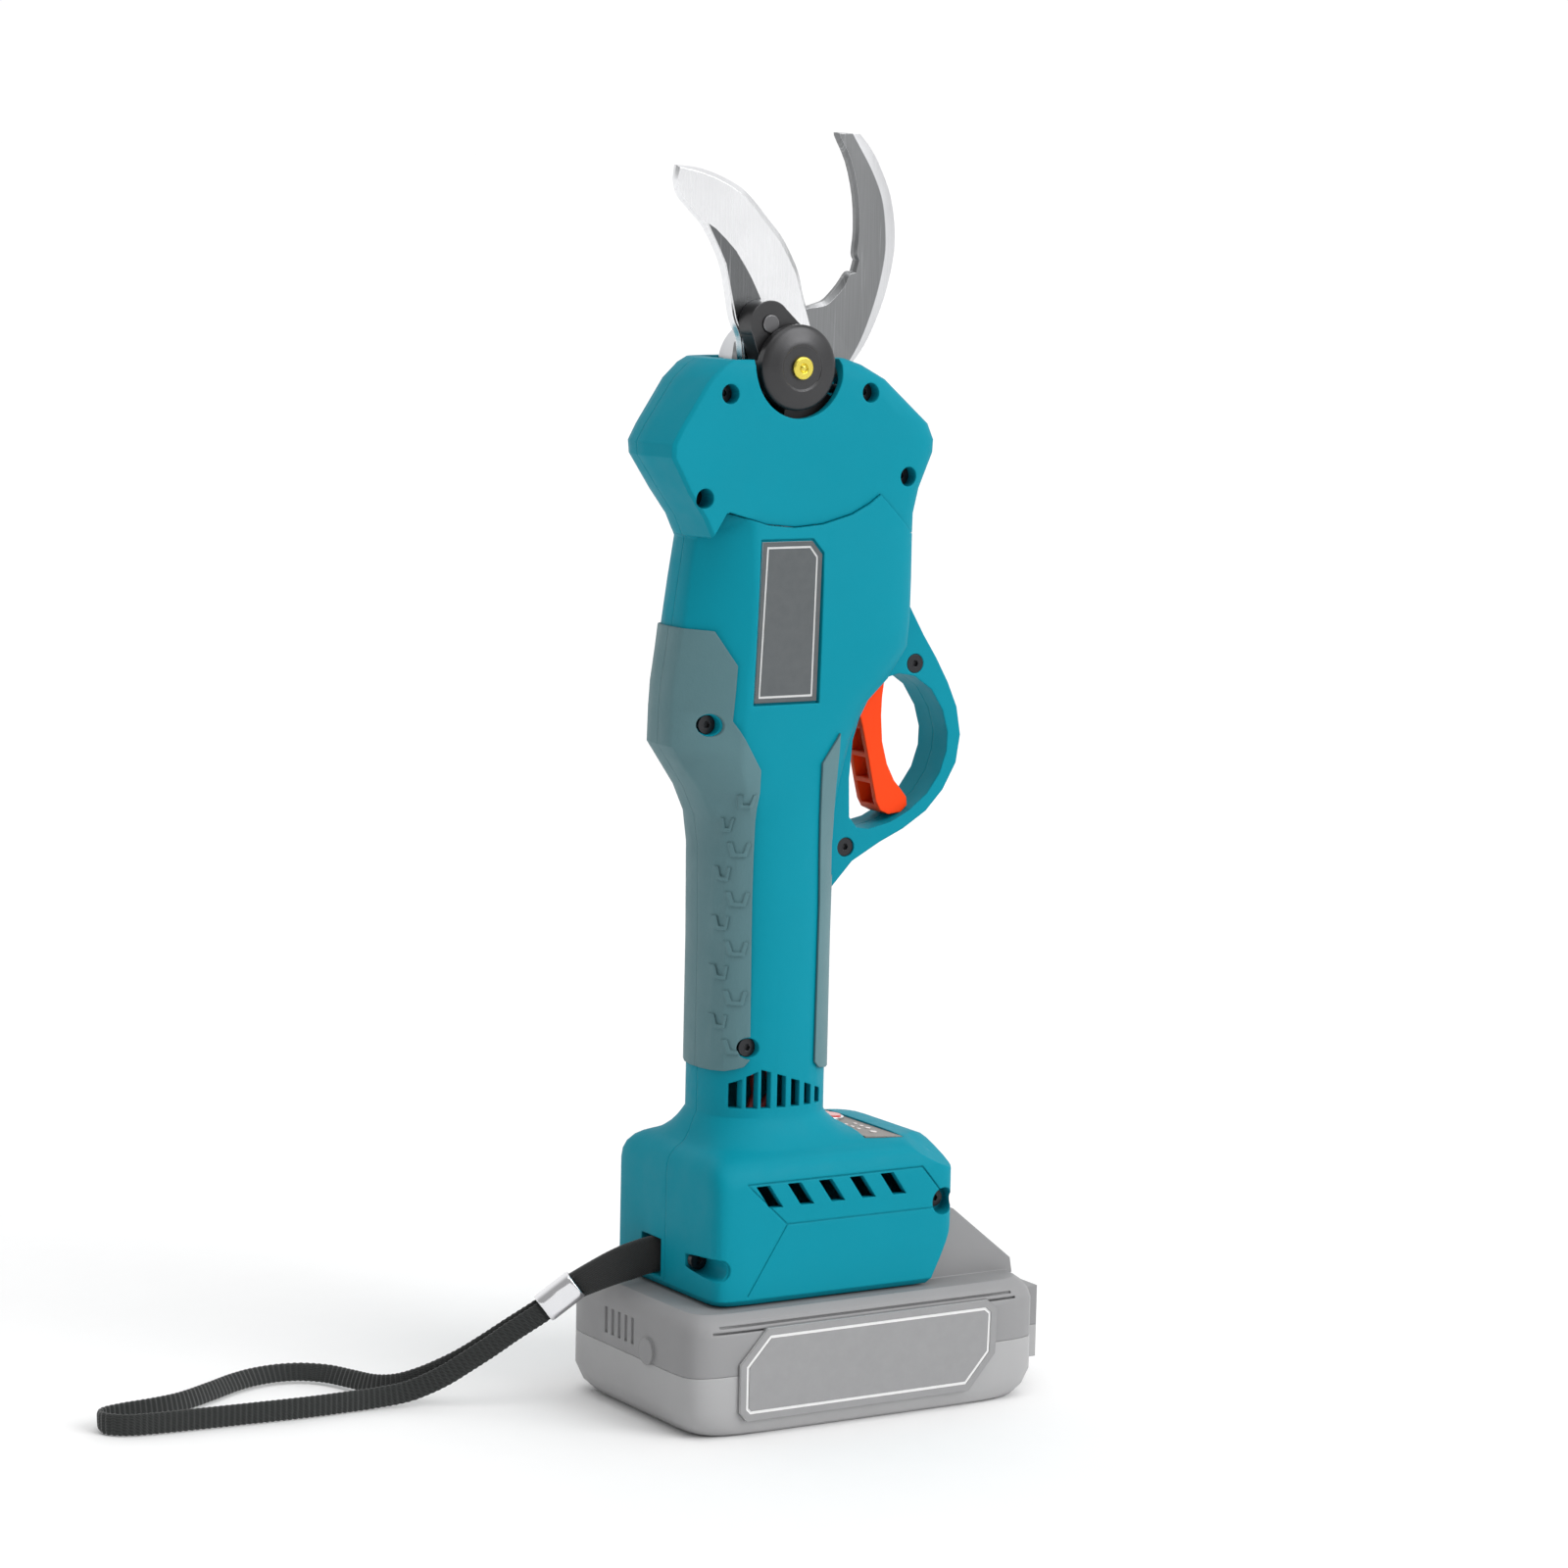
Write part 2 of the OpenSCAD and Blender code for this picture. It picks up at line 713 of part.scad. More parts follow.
module gearbox_plate() {
  color(steel) at_drive() tube(15.5, 3.2, 256.1, 259.4);
}

module ring_gear() {
  color(steel) at_drive() difference() {
    tube(15.5, orbit_r + planet_r + 0.15, 259.5, 283.4);
    for (i = [0:35]) rotate([0, 0, i * 10]) translate([orbit_r + planet_r, 0, 259])
      cylinder(r = 0.62, h = 25, $fn = 6);
  }
}

module planet(i) {
  color(steel) at_drive() rotate([0, 0, 90 + i * 120]) translate([orbit_r, 0, 0]) difference() {
    notched_gear(planet_r - 0.15, 14, 262, 278.6);
    translate([0, 0, 250]) cylinder(r = 1.55, h = 40);
  }
}

module planet_a() {
  planet(0);
}

module planet_b() {
  planet(1);
}

module planet_c() {
  planet(2);
}

module planet_carrier() {
  color(steel) at_drive() union() {
    translate([0, 0, 279.4]) cylinder(r = 13.2, h = 3.2);
    translate([0, 0, 282]) cylinder(r = 3, h = 17);
    for (i = [0:2]) rotate([0, 0, 90 + i * 120]) translate([orbit_r, 0, 261.6]) cylinder(r = 1.5, h = 18);
  }
}

module output_bearing() {
  color(steel) at_drive() tube(8, 3.06, 283.6, 290);
}

// bevel pinion on the output shaft; teeth lean with the pitch cone
module bevel_pinion() {
  color(steel) at_drive() difference() {
    union() {
      translate([0, 0, pivot_z - 31.5])
        cylinder(r1 = pinion_r * 1.12 - 0.9, r2 = pinion_r * 0.86 - 0.9, h = 7.5);
      for (i = [0:pinion_teeth - 1]) rotate([0, 0, -90 + i * 360 / pinion_teeth])
        translate([0, 0, pivot_z]) rotate([0, -cone_a, 0]) translate([-2.9, -0.72, -31.2])
          cube([3.55, 1.44, 7]);
    }
    translate([0, 0, 290]) cylinder(r = 3, h = 9);
    translate([0, 0, pivot_z - 34]) cylinder(r = 12, h = 2.5);
  }
}

// aluminium frame: bearing flange, rear bracket and round lug for the pivot
module gear_frame() {
  color([0.8, 0.81, 0.82]) difference() {
    union() {
      at_drive() translate([0, 0, 283.45]) cylinder(r = 15.2, h = 6.6);
      rod(pivot_x, pivot_z, lug_r, 1.1, 9.2);
      box(pivot_x - 12, pivot_x + 12, 8.9, 12.6, 284.2, 320);
      box(pivot_x - 12, pivot_x + 12, 1.1, 12.6, 309.6, 320);
    }
    at_drive() translate([0, 0, 280]) cylinder(r = 8, h = 12);
    at_drive() translate([0, 0, 280]) cylinder(r = 4, h = 21);
    rod(pivot_x, pivot_z, bolt_r, -5, 20);
    for (s = [-1, 1]) rod(pivot_x + s * 9, pivot_z - 14, 1.55, -5, 20);
    for (s = [-1, 1]) at_drive() translate([s * 11.8, 0, 280]) cylinder(r = 1.3, h = 12);
  }
}

module frame_screws() {
  color(dark) union() {
    for (s = [-1, 1]) difference() {
      rod(pivot_x + s * 9, pivot_z - 14, 2.8, 12.6, 14.4);
      rod(pivot_x + s * 9, pivot_z - 14, 1.3, 13.4, 15, $fn = 6);
    }
    for (s = [-1, 1]) rod(pivot_x + s * 9, pivot_z - 14, 1.5, -1.8, 12.7);
    for (s = [-1, 1]) at_drive() translate([s * 11.8, 0, 290.1]) cylinder(r = 2.3, h = 1.5);
    for (s = [-1, 1]) at_drive() translate([s * 11.8, 0, 284.3]) cylinder(r = 1.25, h = 5.8);
  }
}

function around(r, a0, a1, n) = [for (i = [0:n]) let (a = a0 + (a1 - a0) * i / n)
  [pivot_x + r * sin(a), pivot_z - r * cos(a)]];

// bevel sector with the arm that carries the drive pin
module sector_gear() {
  color([0.25, 0.25, 0.26]) difference() {
    union() {
      rod(pivot_x, pivot_z, 11.6, -12.4, -5.15);
      prism(concat(around(31, -7.5, 58.5, 12), around(9, 58.5, -7.5, 4)), -11.6, -7.4);
      rod(pivot_x - 8, pivot_z + 13.3, 7.2, -12.4, -5.15);
      prism([[pivot_x - 14.2, pivot_z + 9.6], [pivot_x - 11.4, pivot_z + 2], [pivot_x + 7, pivot_z + 9.3],
        [pivot_x - 2.8, pivot_z + 18.2]], -12.4, -5.15);
      for (i = [-1:6]) translate([pivot_x, 0, pivot_z]) rotate([0, -(i + 0.5) * sector_pitch, 0])
        rotate([-cone_a, 0, 0]) translate([-0.72, -2.2, -30.8]) cube([1.44, 2.9, 6.4]);
    }
    rod(pivot_x, pivot_z, bolt_r + 0.05, -20, 5);
    rod(pivot_x - 8, pivot_z + 13.3, 2.75, -20, 5);
  }
}

// blade outlines from the pivot: sideways, height, and the way in to the top of the bevel
moving_edge = [[-37.3, 61.4, 0.6, -0.8], [-29, 60.5, -0.3, -1.3], [-20.9, 58, -0.6, -1.5],
  [-13.8, 54.5, -0.9, -1.6], [-9, 50.4, -1.3, -1.4], [-4.8, 45.9, -1.4, -1.4], [0.7, 40, -1.6, -1.2],
  [4.7, 33.7, -1.7, -0.9], [7.4, 28.2, -1.6, -0.6], [9, 22.2, -1.4, -0.4], [10.9, 16.1, -1, -0.3],
  [12.6, 9, -0.5, -0.1]];
moving_back = [[-13.6, 2, 0.3, 0.1], [-14.5, 8.6, 0.4, 0.1], [-17.1, 14.6, 0.4, 0.1], [-18.7, 22.2, 0.4, 0.1],
  [-21, 31.7, 0.4, 0.1], [-26.8, 42.2, 0.4, 0.2], [-31.8, 47.4, 0.3, 0.3], [-36.4, 52.2, 0.4, 0.2],
  [-37.9, 57.2, 0.4, 0]];
hook_back = [[30.3, 71.7, -3.6, 0.1], [34, 67.8, -3.1, -2.3], [37.1, 63.3, -3.4, -2.2],
  [40.2, 57.4, -3.7, -1.7], [42.5, 51.2, -4, -1.2], [44, 42, -4.4, -0.3], [43.6, 32.8, -4.1, 0.7],
  [40.5, 20.5, -3.6, 1.3], [35, 8.3, -2.6, 1.5], [29.4, 0.6, -1.5, 1.3], [25, -3, -0.6, 0.8]];
hook_foot = [[18, -6, 0, 0.1], [14, -11, -0.1, 0], [12.6, -18, -0.1, 0.1], [-12.4, -18, 0.1, 0.1],
  [-14.4, -10, 0.1, 0], [-14.4, -3, 0.1, 0], [-13, 7, 0.1, 0], [-6, 14, 0, -0.1], [8, 16.4, 0, -0.2]];
hook_throat = [[12.3, 18.2, 0.2, -0.5], [16, 19.2, 0.4, -1.1], [19.1, 20.5, 0.7, -1.3], [23.7, 25.1, 1.2, -1],
  [26.5, 28.8, 0.5, -0.8], [28.6, 29.1, 0.6, -0.5]];
hook_edge = [[29.6, 32.7, 0.8, -0.1], [28.8, 34.9, 0.8, 0.1], [29.4, 41.9, 0.8, 0], [28.7, 52.5, 0.8, 0.1],
  [25.9, 63.1, 0.8, 0.2], [21.7, 71.2, 0.7, -0.3], [22.4, 72.1, 0.4, -0.4]];
// unground part of the moving blade, which stands a little proud of the rest of its face
flat_line = [[11.6, 8.6], [0, 12.5], [-5.5, 17.4], [-8.4, 23], [-10.6, 27], [-13, 30.7], [-16.4, 35.4],
  [-20.2, 39.1], [-23.8, 42.2], [-26.4, 43.7], [-25.3, 41.6], [-22.3, 36.3], [-19.8, 31.4], [-17.6, 22.2],
  [-15.9, 14.8], [-13.4, 8.8], [-12.5, 2.2], [-7.2, -10], [9.2, -8.4]];
flat_rise = 0.35;

// smooth curve through the points, with n steps from each to the next
function curve(p, n = 4) = concat([for (i = [0:len(p) - 2]) for (k = [0:n - 1])
  let (t = k / n, a = p[max(i - 1, 0)], b = p[i], c = p[i + 1], d = p[min(i + 2, len(p) - 1)])
  (2 * b + (c - a) * t + (2 * a - 5 * b + 4 * c - d) * t * t + (3 * b - a - 3 * c + d) * t * t * t) / 2],
  [p[len(p) - 1]]);

function at_pivot(line) = [for (p = line) [pivot_x + p[0], pivot_z + p[1]]];

// twice the area of the triangle a b c, negative where it runs clockwise
function turn(a, b, c) = (b[0] - a[0]) * (c[1] - a[1]) - (b[1] - a[1]) * (c[0] - a[0]);

// whether corner i of the clockwise outline ids can be cut off without touching another corner
function is_ear(p, ids, i) = let (n = len(ids), h = (i + n - 1) % n, j = (i + 1) % n,
  a = p[ids[h]], b = p[ids[i]], c = p[ids[j]])
  turn(a, b, c) < -0.001 && len([for (k = [0:n - 1]) let (q = p[ids[k]])
    if (k != h && k != i && k != j && turn(a, b, q) <= 0 && turn(b, c, q) <= 0 && turn(c, a, q) <= 0) 1]) == 0;

function ear_from(p, ids, i) = i >= len(ids) ? 0 : is_ear(p, ids, i) ? i : ear_from(p, ids, i + 1);

// the clockwise outline cut into triangles
function triangles(p, ids) = let (n = len(ids), i = n < 4 ? 1 : ear_from(p, ids, 0))
  n < 4 ? [ids] : concat([[ids[(i + n - 1) % n], ids[i], ids[(i + 1) % n]]],
    triangles(p, [for (k = [0:n - 1]) if (k != i) ids[k]]));

// plate from the front face y0 to the back face y1, with a bevel that starts at height ym
module blade_form(line, y0, ym, y1) {
  m = len(line);
  order = [for (i = [0:m - 1]) i];
  front = triangles([for (p = line) [p[0] + p[2], p[1] + p[3]]], order);
  back = [for (t = triangles([for (p = line) [p[0], p[1]]], order)) [2 * m + t[2], 2 * m + t[1], 2 * m + t[0]]];
  pts = concat([for (p = line) [pivot_x + p[0] + p[2], y0, pivot_z + p[1] + p[3]]],
    [for (p = line) [pivot_x + p[0], ym, pivot_z + p[1]]],
    [for (p = line) [pivot_x + p[0], y1, pivot_z + p[1]]]);
  side = [for (k = [0:1]) for (i = [0:m - 1]) let (j = (i + 1) % m)
    each [[k * m + j, k * m + i, k * m + m + i], [k * m + j, k * m + m + i, k * m + m + j]]];
  polyhedron(pts, concat(side, front, back));
}

module moving_blade() {
  y0 = -2.05 - blade_t;
  color([0.85, 0.86, 0.88]) difference() {
    union() {
      blade_form(concat(curve(moving_edge), [[10, -9, -0.1, 0.1], [-8, -11, 0.1, 0.1]], curve(moving_back)),
        y0 + flat_rise, -3.3, -2.05);
      prism(at_pivot(flat_line), y0, -3.6);
    }
    rod(pivot_x, pivot_z, bolt_r + 0.05, -20, 5);
    rod(pivot_x - 8, pivot_z + 13.3, 2.75, -20, 5);
  }
}

module drive_pin() {
  color(steel) rod(pivot_x - 8, pivot_z + 13.3, 2.75, -13, -2.1);
}

module fixed_blade() {
  color([0.6, 0.61, 0.63]) difference() {
    blade_form(concat(curve(hook_back), hook_foot, curve(hook_throat, 3), curve(hook_edge, 3)),
      -1.9, -0.7, -1.9 + blade_t);
    rod(pivot_x, pivot_z, bolt_r, -20, 5);
    for (s = [-1, 1]) rod(pivot_x + s * 9, pivot_z - 14, 1.55, -20, 20);
  }
}

module pivot_bolt() {
  color(steel) union() {
    rod(pivot_x, pivot_z, bolt_r, -15.4, 9.2);
    rod(pivot_x, pivot_z, 8, 9.2, 13.4, $fn = 6);
  }
}

module thrust_washer() {
  color([0.4, 0.4, 0.42]) difference() {
    rod(pivot_x, pivot_z, 12.6, -14.1, -12.5);
    rod(pivot_x, pivot_z, bolt_r, -20, 5);
  }
}

module pivot_disc() {
  color(dark) difference() {
    translate([pivot_x, -14.1, pivot_z]) rotate([90, 0, 0]) rotate_extrude()
      polygon([[0, 0], [disc_r, 0], [disc_r, 2.4], [disc_r - 0.4, 3], [disc_r - 1, 3.4], [7.6, 4.7],
        [7.1, 4.7], [6.8, 4.4], [0, 4.4]]);
    rod(pivot_x, pivot_z, bolt_r, -15.4, 5);
    rod(pivot_x, pivot_z, 2.5, -22, -15);
  }
}

module grease_fitting() {
  color([0.85, 0.75, 0.2]) translate([pivot_x, -14.1, pivot_z]) rotate([90, 0, 0]) rotate_extrude()
    polygon([[0, 1.4], [2.5, 1.4], [2.5, 4.4], [3.3, 4.45], [3.6, 5], [3.5, 5.4], [3.1, 5.7], [1.6, 5.7],
      [1.2, 5.1], [1, 5.5], [0.6, 5.8], [0, 5.9]]);
}

module controller_board() {
  color([0.1, 0.35, 0.2]) union() {
    box(-14, 15, 4, 5.6, 129, 190);
    for (i = [0:2]) translate([-8 + i * 8.6, -1.6, 172]) cube([6, 5.7, 9]);
    translate([-6, -1.4, 146]) cylinder(r = 5.2, h = 14);
    box(-7, -5, -1.4, 4.1, 147, 159);
    box(2, 12, 1.8, 4.1, 148, 158);
  }
}

module lead(p, q, r = 1.1) {
  d = q - p;
  h = norm(d);
  translate(p) rotate([0, acos(d[2] / h), atan2(d[1], d[0])]) translate([0, 0, -r / 2])
    cylinder(r = r, h = h + r, $fn = 16);
}

// supply leads from the terminals and phase leads to the motor
module wiring() {
  color([0.6, 0.1, 0.1]) union() {
    for (s = [-1, 1]) {
      lead([-20, -8 + s * 4, 57.6], [-19, -8 + s * 4, 72]);
      lead([-19, -8 + s * 4, 72], [2 + s * 3, -3, 100]);
      lead([2 + s * 3, -3, 100], [2 + s * 3, 4.6, 128.2]);
    }
    for (x = [-5, 0, 5]) {
      lead([x, 6.2, 184], [x, 14.8, 197], 0.9);
      lead([x, 14.8, 197], [x, 14.8, 207.2], 0.9);
    }
  }
}

// three flat terminals that reach from the block to x1
module blade_row(x1) {
  for (i = [0:2]) box(-22, x1, term_y + i * term_pitch - 0.4, term_y + i * term_pitch + 0.4, 46, 52);
}

module terminal_block() {
  color(dark) difference() {
    box(-23.9, -16.6, term_y - 4, term_y + 2 * term_pitch + 4, 44, 58);
    blade_row(-10);
  }
}

module terminal_blades() {
  color([0.8, 0.65, 0.3]) blade_row(-6);
}

module strap_post() {
  color(steel) translate([-21.6, 8.5, 42.6]) cylinder(r = 1.8, h = 12.6);
}

// centre line of the webbing: from the slot to the clamp, then the loop on the ground
strap_lead = [[-24.4, 8.5, 49], [-31.2, 8.7, 48.6], [-40.4, 11, 45.8], [-47, 13.6, 42.8], [-54, 16.8, 39]];
strap_loop = [[-53, 15, 39.8], [-57.6, 16.8, 36.4], [-63.4, 19, 31.6], [-72.6, 23, 25], [-79, 26.4, 19.8],
  [-85.4, 30, 14.8], [-91, 33.2, 10.6], [-97, 36.8, 7], [-103, 39.4, 4.8], [-113, 41, 3.8],
  [-124, 41, 3.7], [-136, 41, 3.7], [-154, 42.2, 3.7], [-172, 43.6, 3.7], [-185, 44.8, 3.7],
  [-193, 46.4, 3.7], [-198, 50, 3.7], [-199, 55, 3.7], [-196, 59, 3.7], [-189, 61, 3.7],
  [-178, 62.2, 3.7], [-167, 65, 3.7], [-153, 72.6, 3.7], [-144, 78, 3.7], [-135, 81.8, 3.7],
  [-126, 83, 3.7], [-118, 81, 3.7], [-111.6, 75, 3.7], [-108, 66, 3.8], [-105, 55, 4.4], [-101, 47, 6],
  [-95.6, 41.4, 8.8], [-90, 37, 12.2], [-84.6, 33.4, 15.8], [-78.4, 29.6, 20.6], [-71.8, 26, 25.8],
  [-62.8, 22, 32.2], [-57, 19.8, 36.6], [-52.6, 18, 40]];

module ribbon(path, w, t) {
  m = len(path);
  pts = [for (i = [0:m - 1]) let (a = path[max(i - 1, 0)], b = path[min(i + 1, m - 1)], p = path[i],
    d = norm([b[0] - a[0], b[1] - a[1]]), n = [-(b[1] - a[1]), b[0] - a[0], 0] / d * t / 2,
    u = cross([-(b[1] - a[1]), b[0] - a[0], 0] / d, (a - b) / norm(a - b)) * w / 2)
    each [p + n - u, p - n - u, p - n + u, p + n + u]];
  side = [for (i = [0:m - 2]) for (k = [0:3]) let (j = (k + 1) % 4)
    each [[i * 4 + k, i * 4 + j, i * 4 + 4 + j], [i * 4 + k, i * 4 + 4 + j, i * 4 + 4 + k]]];
  polyhedron(pts, concat(side, [[3, 2, 1, 0], [m * 4 - 4, m * 4 - 3, m * 4 - 2, m * 4 - 1]]));
}

module strap() {
  color([0.13, 0.13, 0.14]) union() {
    ribbon(strap_lead, strap_w, strap_t * 1.6);
    ribbon(strap_loop, loop_w, strap_t);
  }
}

module strap_clamp() {
  color(steel) translate([-58.2, 18.6, 35.8]) rotate([0, 38, 158]) difference() {
    cube([13, 7.4, 9.4], center = true);
    cube([14, 6.2, 8.2], center = true);
  }
}

pack_rings = [
  [0, pack_x0 + 7, pack_x1 - 6, pack_half - 3.4, 8],
  [1, pack_x0 + 4.8, pack_x1 - 4, pack_half - 2, 9],
  [4, pack_x0 + 2, pack_x1 - 1.8, pack_half - 0.8, 11],
  [9, pack_x0, pack_x1, pack_half, 12],
  [32.5, pack_x0, pack_x1, pack_half, 12],
  [35.4, pack_x0 + 0.8, pack_x1 - 0.8, pack_half - 0.8, 12],
  [37.4, pack_x0 + 2.2, pack_x1 - 2.2, pack_half - 2.2, 12],
  [pack_h, pack_x0 + 4.2, pack_x1 - 4.2, pack_half - 4.2, 12]];
plate_line = [[-27.1, 8.4], [-24.5, 5.4], [57.8, 5.6], [67.6, 16.9], [67.9, 31.3], [64.4, 34.4],
  [-17.4, 34.2], [-27.1, 23.6]];
pack_split = 20;
pack_wall = 2.4;

module pack_form() {
  union() {
    loft(pack_rings);
    for (s = [-1, 1]) box(80, 93.5, s * 20 - 6.5, s * 20 + 6.5, 9.5, 33);
  }
}

module pack_space() {
  x0 = pack_x0 + pack_wall;
  x1 = pack_x1 - pack_wall;
  y = pack_half - pack_wall;
  loft([[2.4, x0 + 4.4, x1 - 3, y - 2, 6.6], [4.6, x0 + 2, x1 - 1.6, y - 0.8, 7.6], [9, x0, x1, y, 8.4],
    [32, x0, x1, y, 9], [36.4, x0 + 2.4, x1 - 2.4, y - 2.4, 9]]);
}

module plate_pockets() {
  for (s = [-1, 1]) prism(plate_line, s < 0 ? -45 : pack_half - 1.4, s < 0 ? -pack_half + 1.4 : 45);
}

// rail tower that slides into the body, section across the pack
module pack_tower() {
  translate([-15, 0, 0]) rotate([90, 0, 90]) linear_extrude(65)
    polygon([[-21.6, 38], [-21.6, 43], [-25, 43], [-25, 46], [-20, 46], [-20, 52.5], [20, 52.5], [20, 46],
      [25, 46], [25, 43], [21.6, 43], [21.6, 38]]);
}

module pack_top_case() {
  color(pack_dark) difference() {
    union() {
      intersection() {
        pack_form();
        box(-60, 120, -50, 50, pack_split + gap, 45);
      }
      pack_tower();
      prism([[47.4, 38], [59, 61.3], [61, 61.3], [83.5, 43], [84.4, 38]], -25, 25);
      translate([pack_x0 - 0.9, -13, 23.6]) rotate([0, 90, 0]) cylinder(r = 4.2, h = 2);
    }
    pack_space();
    plate_pockets();
    box(-12, 47, -18, 18, 33, 50.3);
    for (i = [0:2])
      box(-20, -5.6, term_y + i * term_pitch - 0.9, term_y + i * term_pitch + 0.9, 45, 53);
    box(72, 100, -9.2, 9.2, 21.6, 33.4);
    for (s = [-1, 1]) for (i = [0:2]) box(-36 + i * 2.4, 76 - i * 1.5, s * 42 - 3.4, s * 42 + 3.4,
      33.4 + i * 1.7, 34.1 + i * 1.7);
    for (i = [0:4]) box(-50, pack_x0 + 0.8, -4 + i * 4.2, -2.2 + i * 4.2, 23.6, 32);
  }
}

module pack_bottom_case() {
  color(pack_grey) difference() {
    intersection() {
      pack_form();
      box(-60, 120, -50, 50, -1, pack_split - gap);
    }
    pack_space();
    plate_pockets();
  }
}

module pack_side_plates() {
  color(pack_grey) for (s = [-1, 1]) difference() {
    prism(plate_line, s < 0 ? -pack_half - 1.1 : pack_half - 1.35,
      s < 0 ? -pack_half + 1.35 : pack_half + 1.1);
    difference() {
      prism([[-24.9, 9.2], [-23.4, 7.6], [56.8, 7.8], [65.4, 17.6], [65.7, 30.4], [63.6, 32.2], [-16.5, 32],
        [-24.9, 22.8]], s < 0 ? -45 : pack_half + 0.7, s < 0 ? -pack_half - 0.7 : 45);
      prism([[-23.9, 9.6], [-22.9, 8.6], [56.3, 8.8], [64.4, 18], [64.7, 30], [63.2, 31.2], [-16, 31],
        [-23.9, 22.4]], -50, 50);
    }
  }
}

module pack_cells() {
  color([0.2, 0.45, 0.3]) for (i = [0:4])
    rod(cell_x0 + i * cell_pitch, cell_z, cell_r, -cell_len / 2, cell_len / 2);
}

module pack_strips() {
  color(steel) for (s = [-1, 1]) for (i = [0:1])
    box(cell_x0 - 3 + i * 2 * cell_pitch + (s < 0 ? 0 : cell_pitch),
      cell_x0 + 3 + (i * 2 + 1) * cell_pitch + (s < 0 ? 0 : cell_pitch),
      s * 32.8 - 0.25, s * 32.8 + 0.25, cell_z - 4, cell_z + 4);
}

module pack_board() {
  color([0.1, 0.35, 0.2]) union() {
    box(-24, 66, -26, 26, 26, 27.6);
    box(30, 42, -8, 8, 27.5, 30);
    box(-9.6, 10, -17.6, 1.6, 27.5, 42.6);
  }
}

module pack_contacts() {
  color([0.8, 0.65, 0.3]) for (i = [0:2]) for (s = [-1, 1])
    let (y = term_y + i * term_pitch + s * 0.75) box(-9, 2, y - 0.25, y + 0.25, 42.7, 50);
}

module pack_latch() {
  color(dark) union() {
    box(84.6, 90.4, -9, 9, 21.8, 33.2);
    box(80.5, 84.7, -6, 6, 23, 32);
  }
}

module latch_spring() {
  color(steel) union() {
    for (i = [0:3]) translate([73.6 + i * 1.3, 0, 27.4]) rotate([0, 90, 0]) wire_ring(3, 0.45);
    translate([73, 0, 30.4]) rotate([0, 90, 0]) cylinder(r = 0.45, h = 5, $fn = 16);
  }
}

housing_front();
housing_rear();
head_cover_front();
head_cover_rear();
grip_front();
grip_rear();
side_strip_front();
side_strip_rear();
rating_plate();
control_panel();
button_bezel();
status_leds();
housing_screws();
trigger();
trigger_magnet();
trigger_pin();
trigger_spring();
sensor_board();
motor_can();
motor_stator();
motor_rotor();
motor_fan();
sun_gear();
gearbox_plate();
ring_gear();
planet_a();
planet_b();
planet_c();
planet_carrier();
output_bearing();
bevel_pinion();
gear_frame();
frame_screws();
sector_gear();
moving_blade();
drive_pin();
fixed_blade();
pivot_bolt();
thrust_washer();
pivot_disc();
grease_fitting();
controller_board();
wiring();
terminal_block();
terminal_blades();
power_button();
strap_post();
strap();
strap_clamp();
pack_top_case();
pack_bottom_case();
pack_side_plates();
pack_cells();
pack_strips();
pack_board();
pack_contacts();
pack_latch();
latch_spring();
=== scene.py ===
"""Looks of the cordless pruning shears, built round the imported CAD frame."""

import json
import math

import bpy
from mathutils import Matrix, Vector


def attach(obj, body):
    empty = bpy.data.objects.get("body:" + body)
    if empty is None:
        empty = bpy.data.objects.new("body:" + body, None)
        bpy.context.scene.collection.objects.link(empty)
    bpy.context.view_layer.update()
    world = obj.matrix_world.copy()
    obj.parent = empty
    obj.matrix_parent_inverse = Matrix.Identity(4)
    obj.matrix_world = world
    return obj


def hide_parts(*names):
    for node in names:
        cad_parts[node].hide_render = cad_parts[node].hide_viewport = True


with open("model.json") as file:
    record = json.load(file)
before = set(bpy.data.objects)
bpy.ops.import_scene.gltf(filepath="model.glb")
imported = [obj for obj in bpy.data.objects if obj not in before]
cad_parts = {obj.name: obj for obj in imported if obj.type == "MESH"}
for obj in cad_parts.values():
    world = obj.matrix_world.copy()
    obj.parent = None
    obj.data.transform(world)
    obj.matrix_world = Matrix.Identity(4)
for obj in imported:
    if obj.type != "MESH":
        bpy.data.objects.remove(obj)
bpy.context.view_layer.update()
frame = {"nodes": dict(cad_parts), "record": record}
nodes = frame["nodes"]
MM = 0.001
SLACK = 0.04 * MM  # half the width of the blend where one finish changes to another


# ---------------------------------------------------------------- camera, floor and light
def aim(azimuth, elevation, roll=0.0):
    """Rotation that looks at the object from that direction, in degrees."""
    a, e, r = (math.radians(x) for x in (azimuth, elevation, roll))
    back = Vector((math.sin(a) * math.cos(e), -math.cos(a) * math.cos(e), math.sin(e)))
    side = Vector((math.cos(a), math.sin(a), 0))
    up = back.cross(side)
    x_axis = side * math.cos(r) + up * math.sin(r)
    y_axis = up * math.cos(r) - side * math.sin(r)
    return Matrix((x_axis, y_axis, back)).transposed(), back


def make_camera():
    data = bpy.data.cameras.new("camera")
    data.lens, data.sensor_width = 112.5, 36
    data.clip_start, data.clip_end = 0.05, 50
    camera = bpy.data.objects.new("camera", data)
    turn, back = aim(-31.5, 7.7, 1.25)
    target, distance = Vector((9.36, 0, 198)) * MM, 1.546
    camera.matrix_world = Matrix.Translation(target + back * distance) @ turn.to_4x4()
    bpy.context.scene.collection.objects.link(camera)
    bpy.context.scene.camera = camera


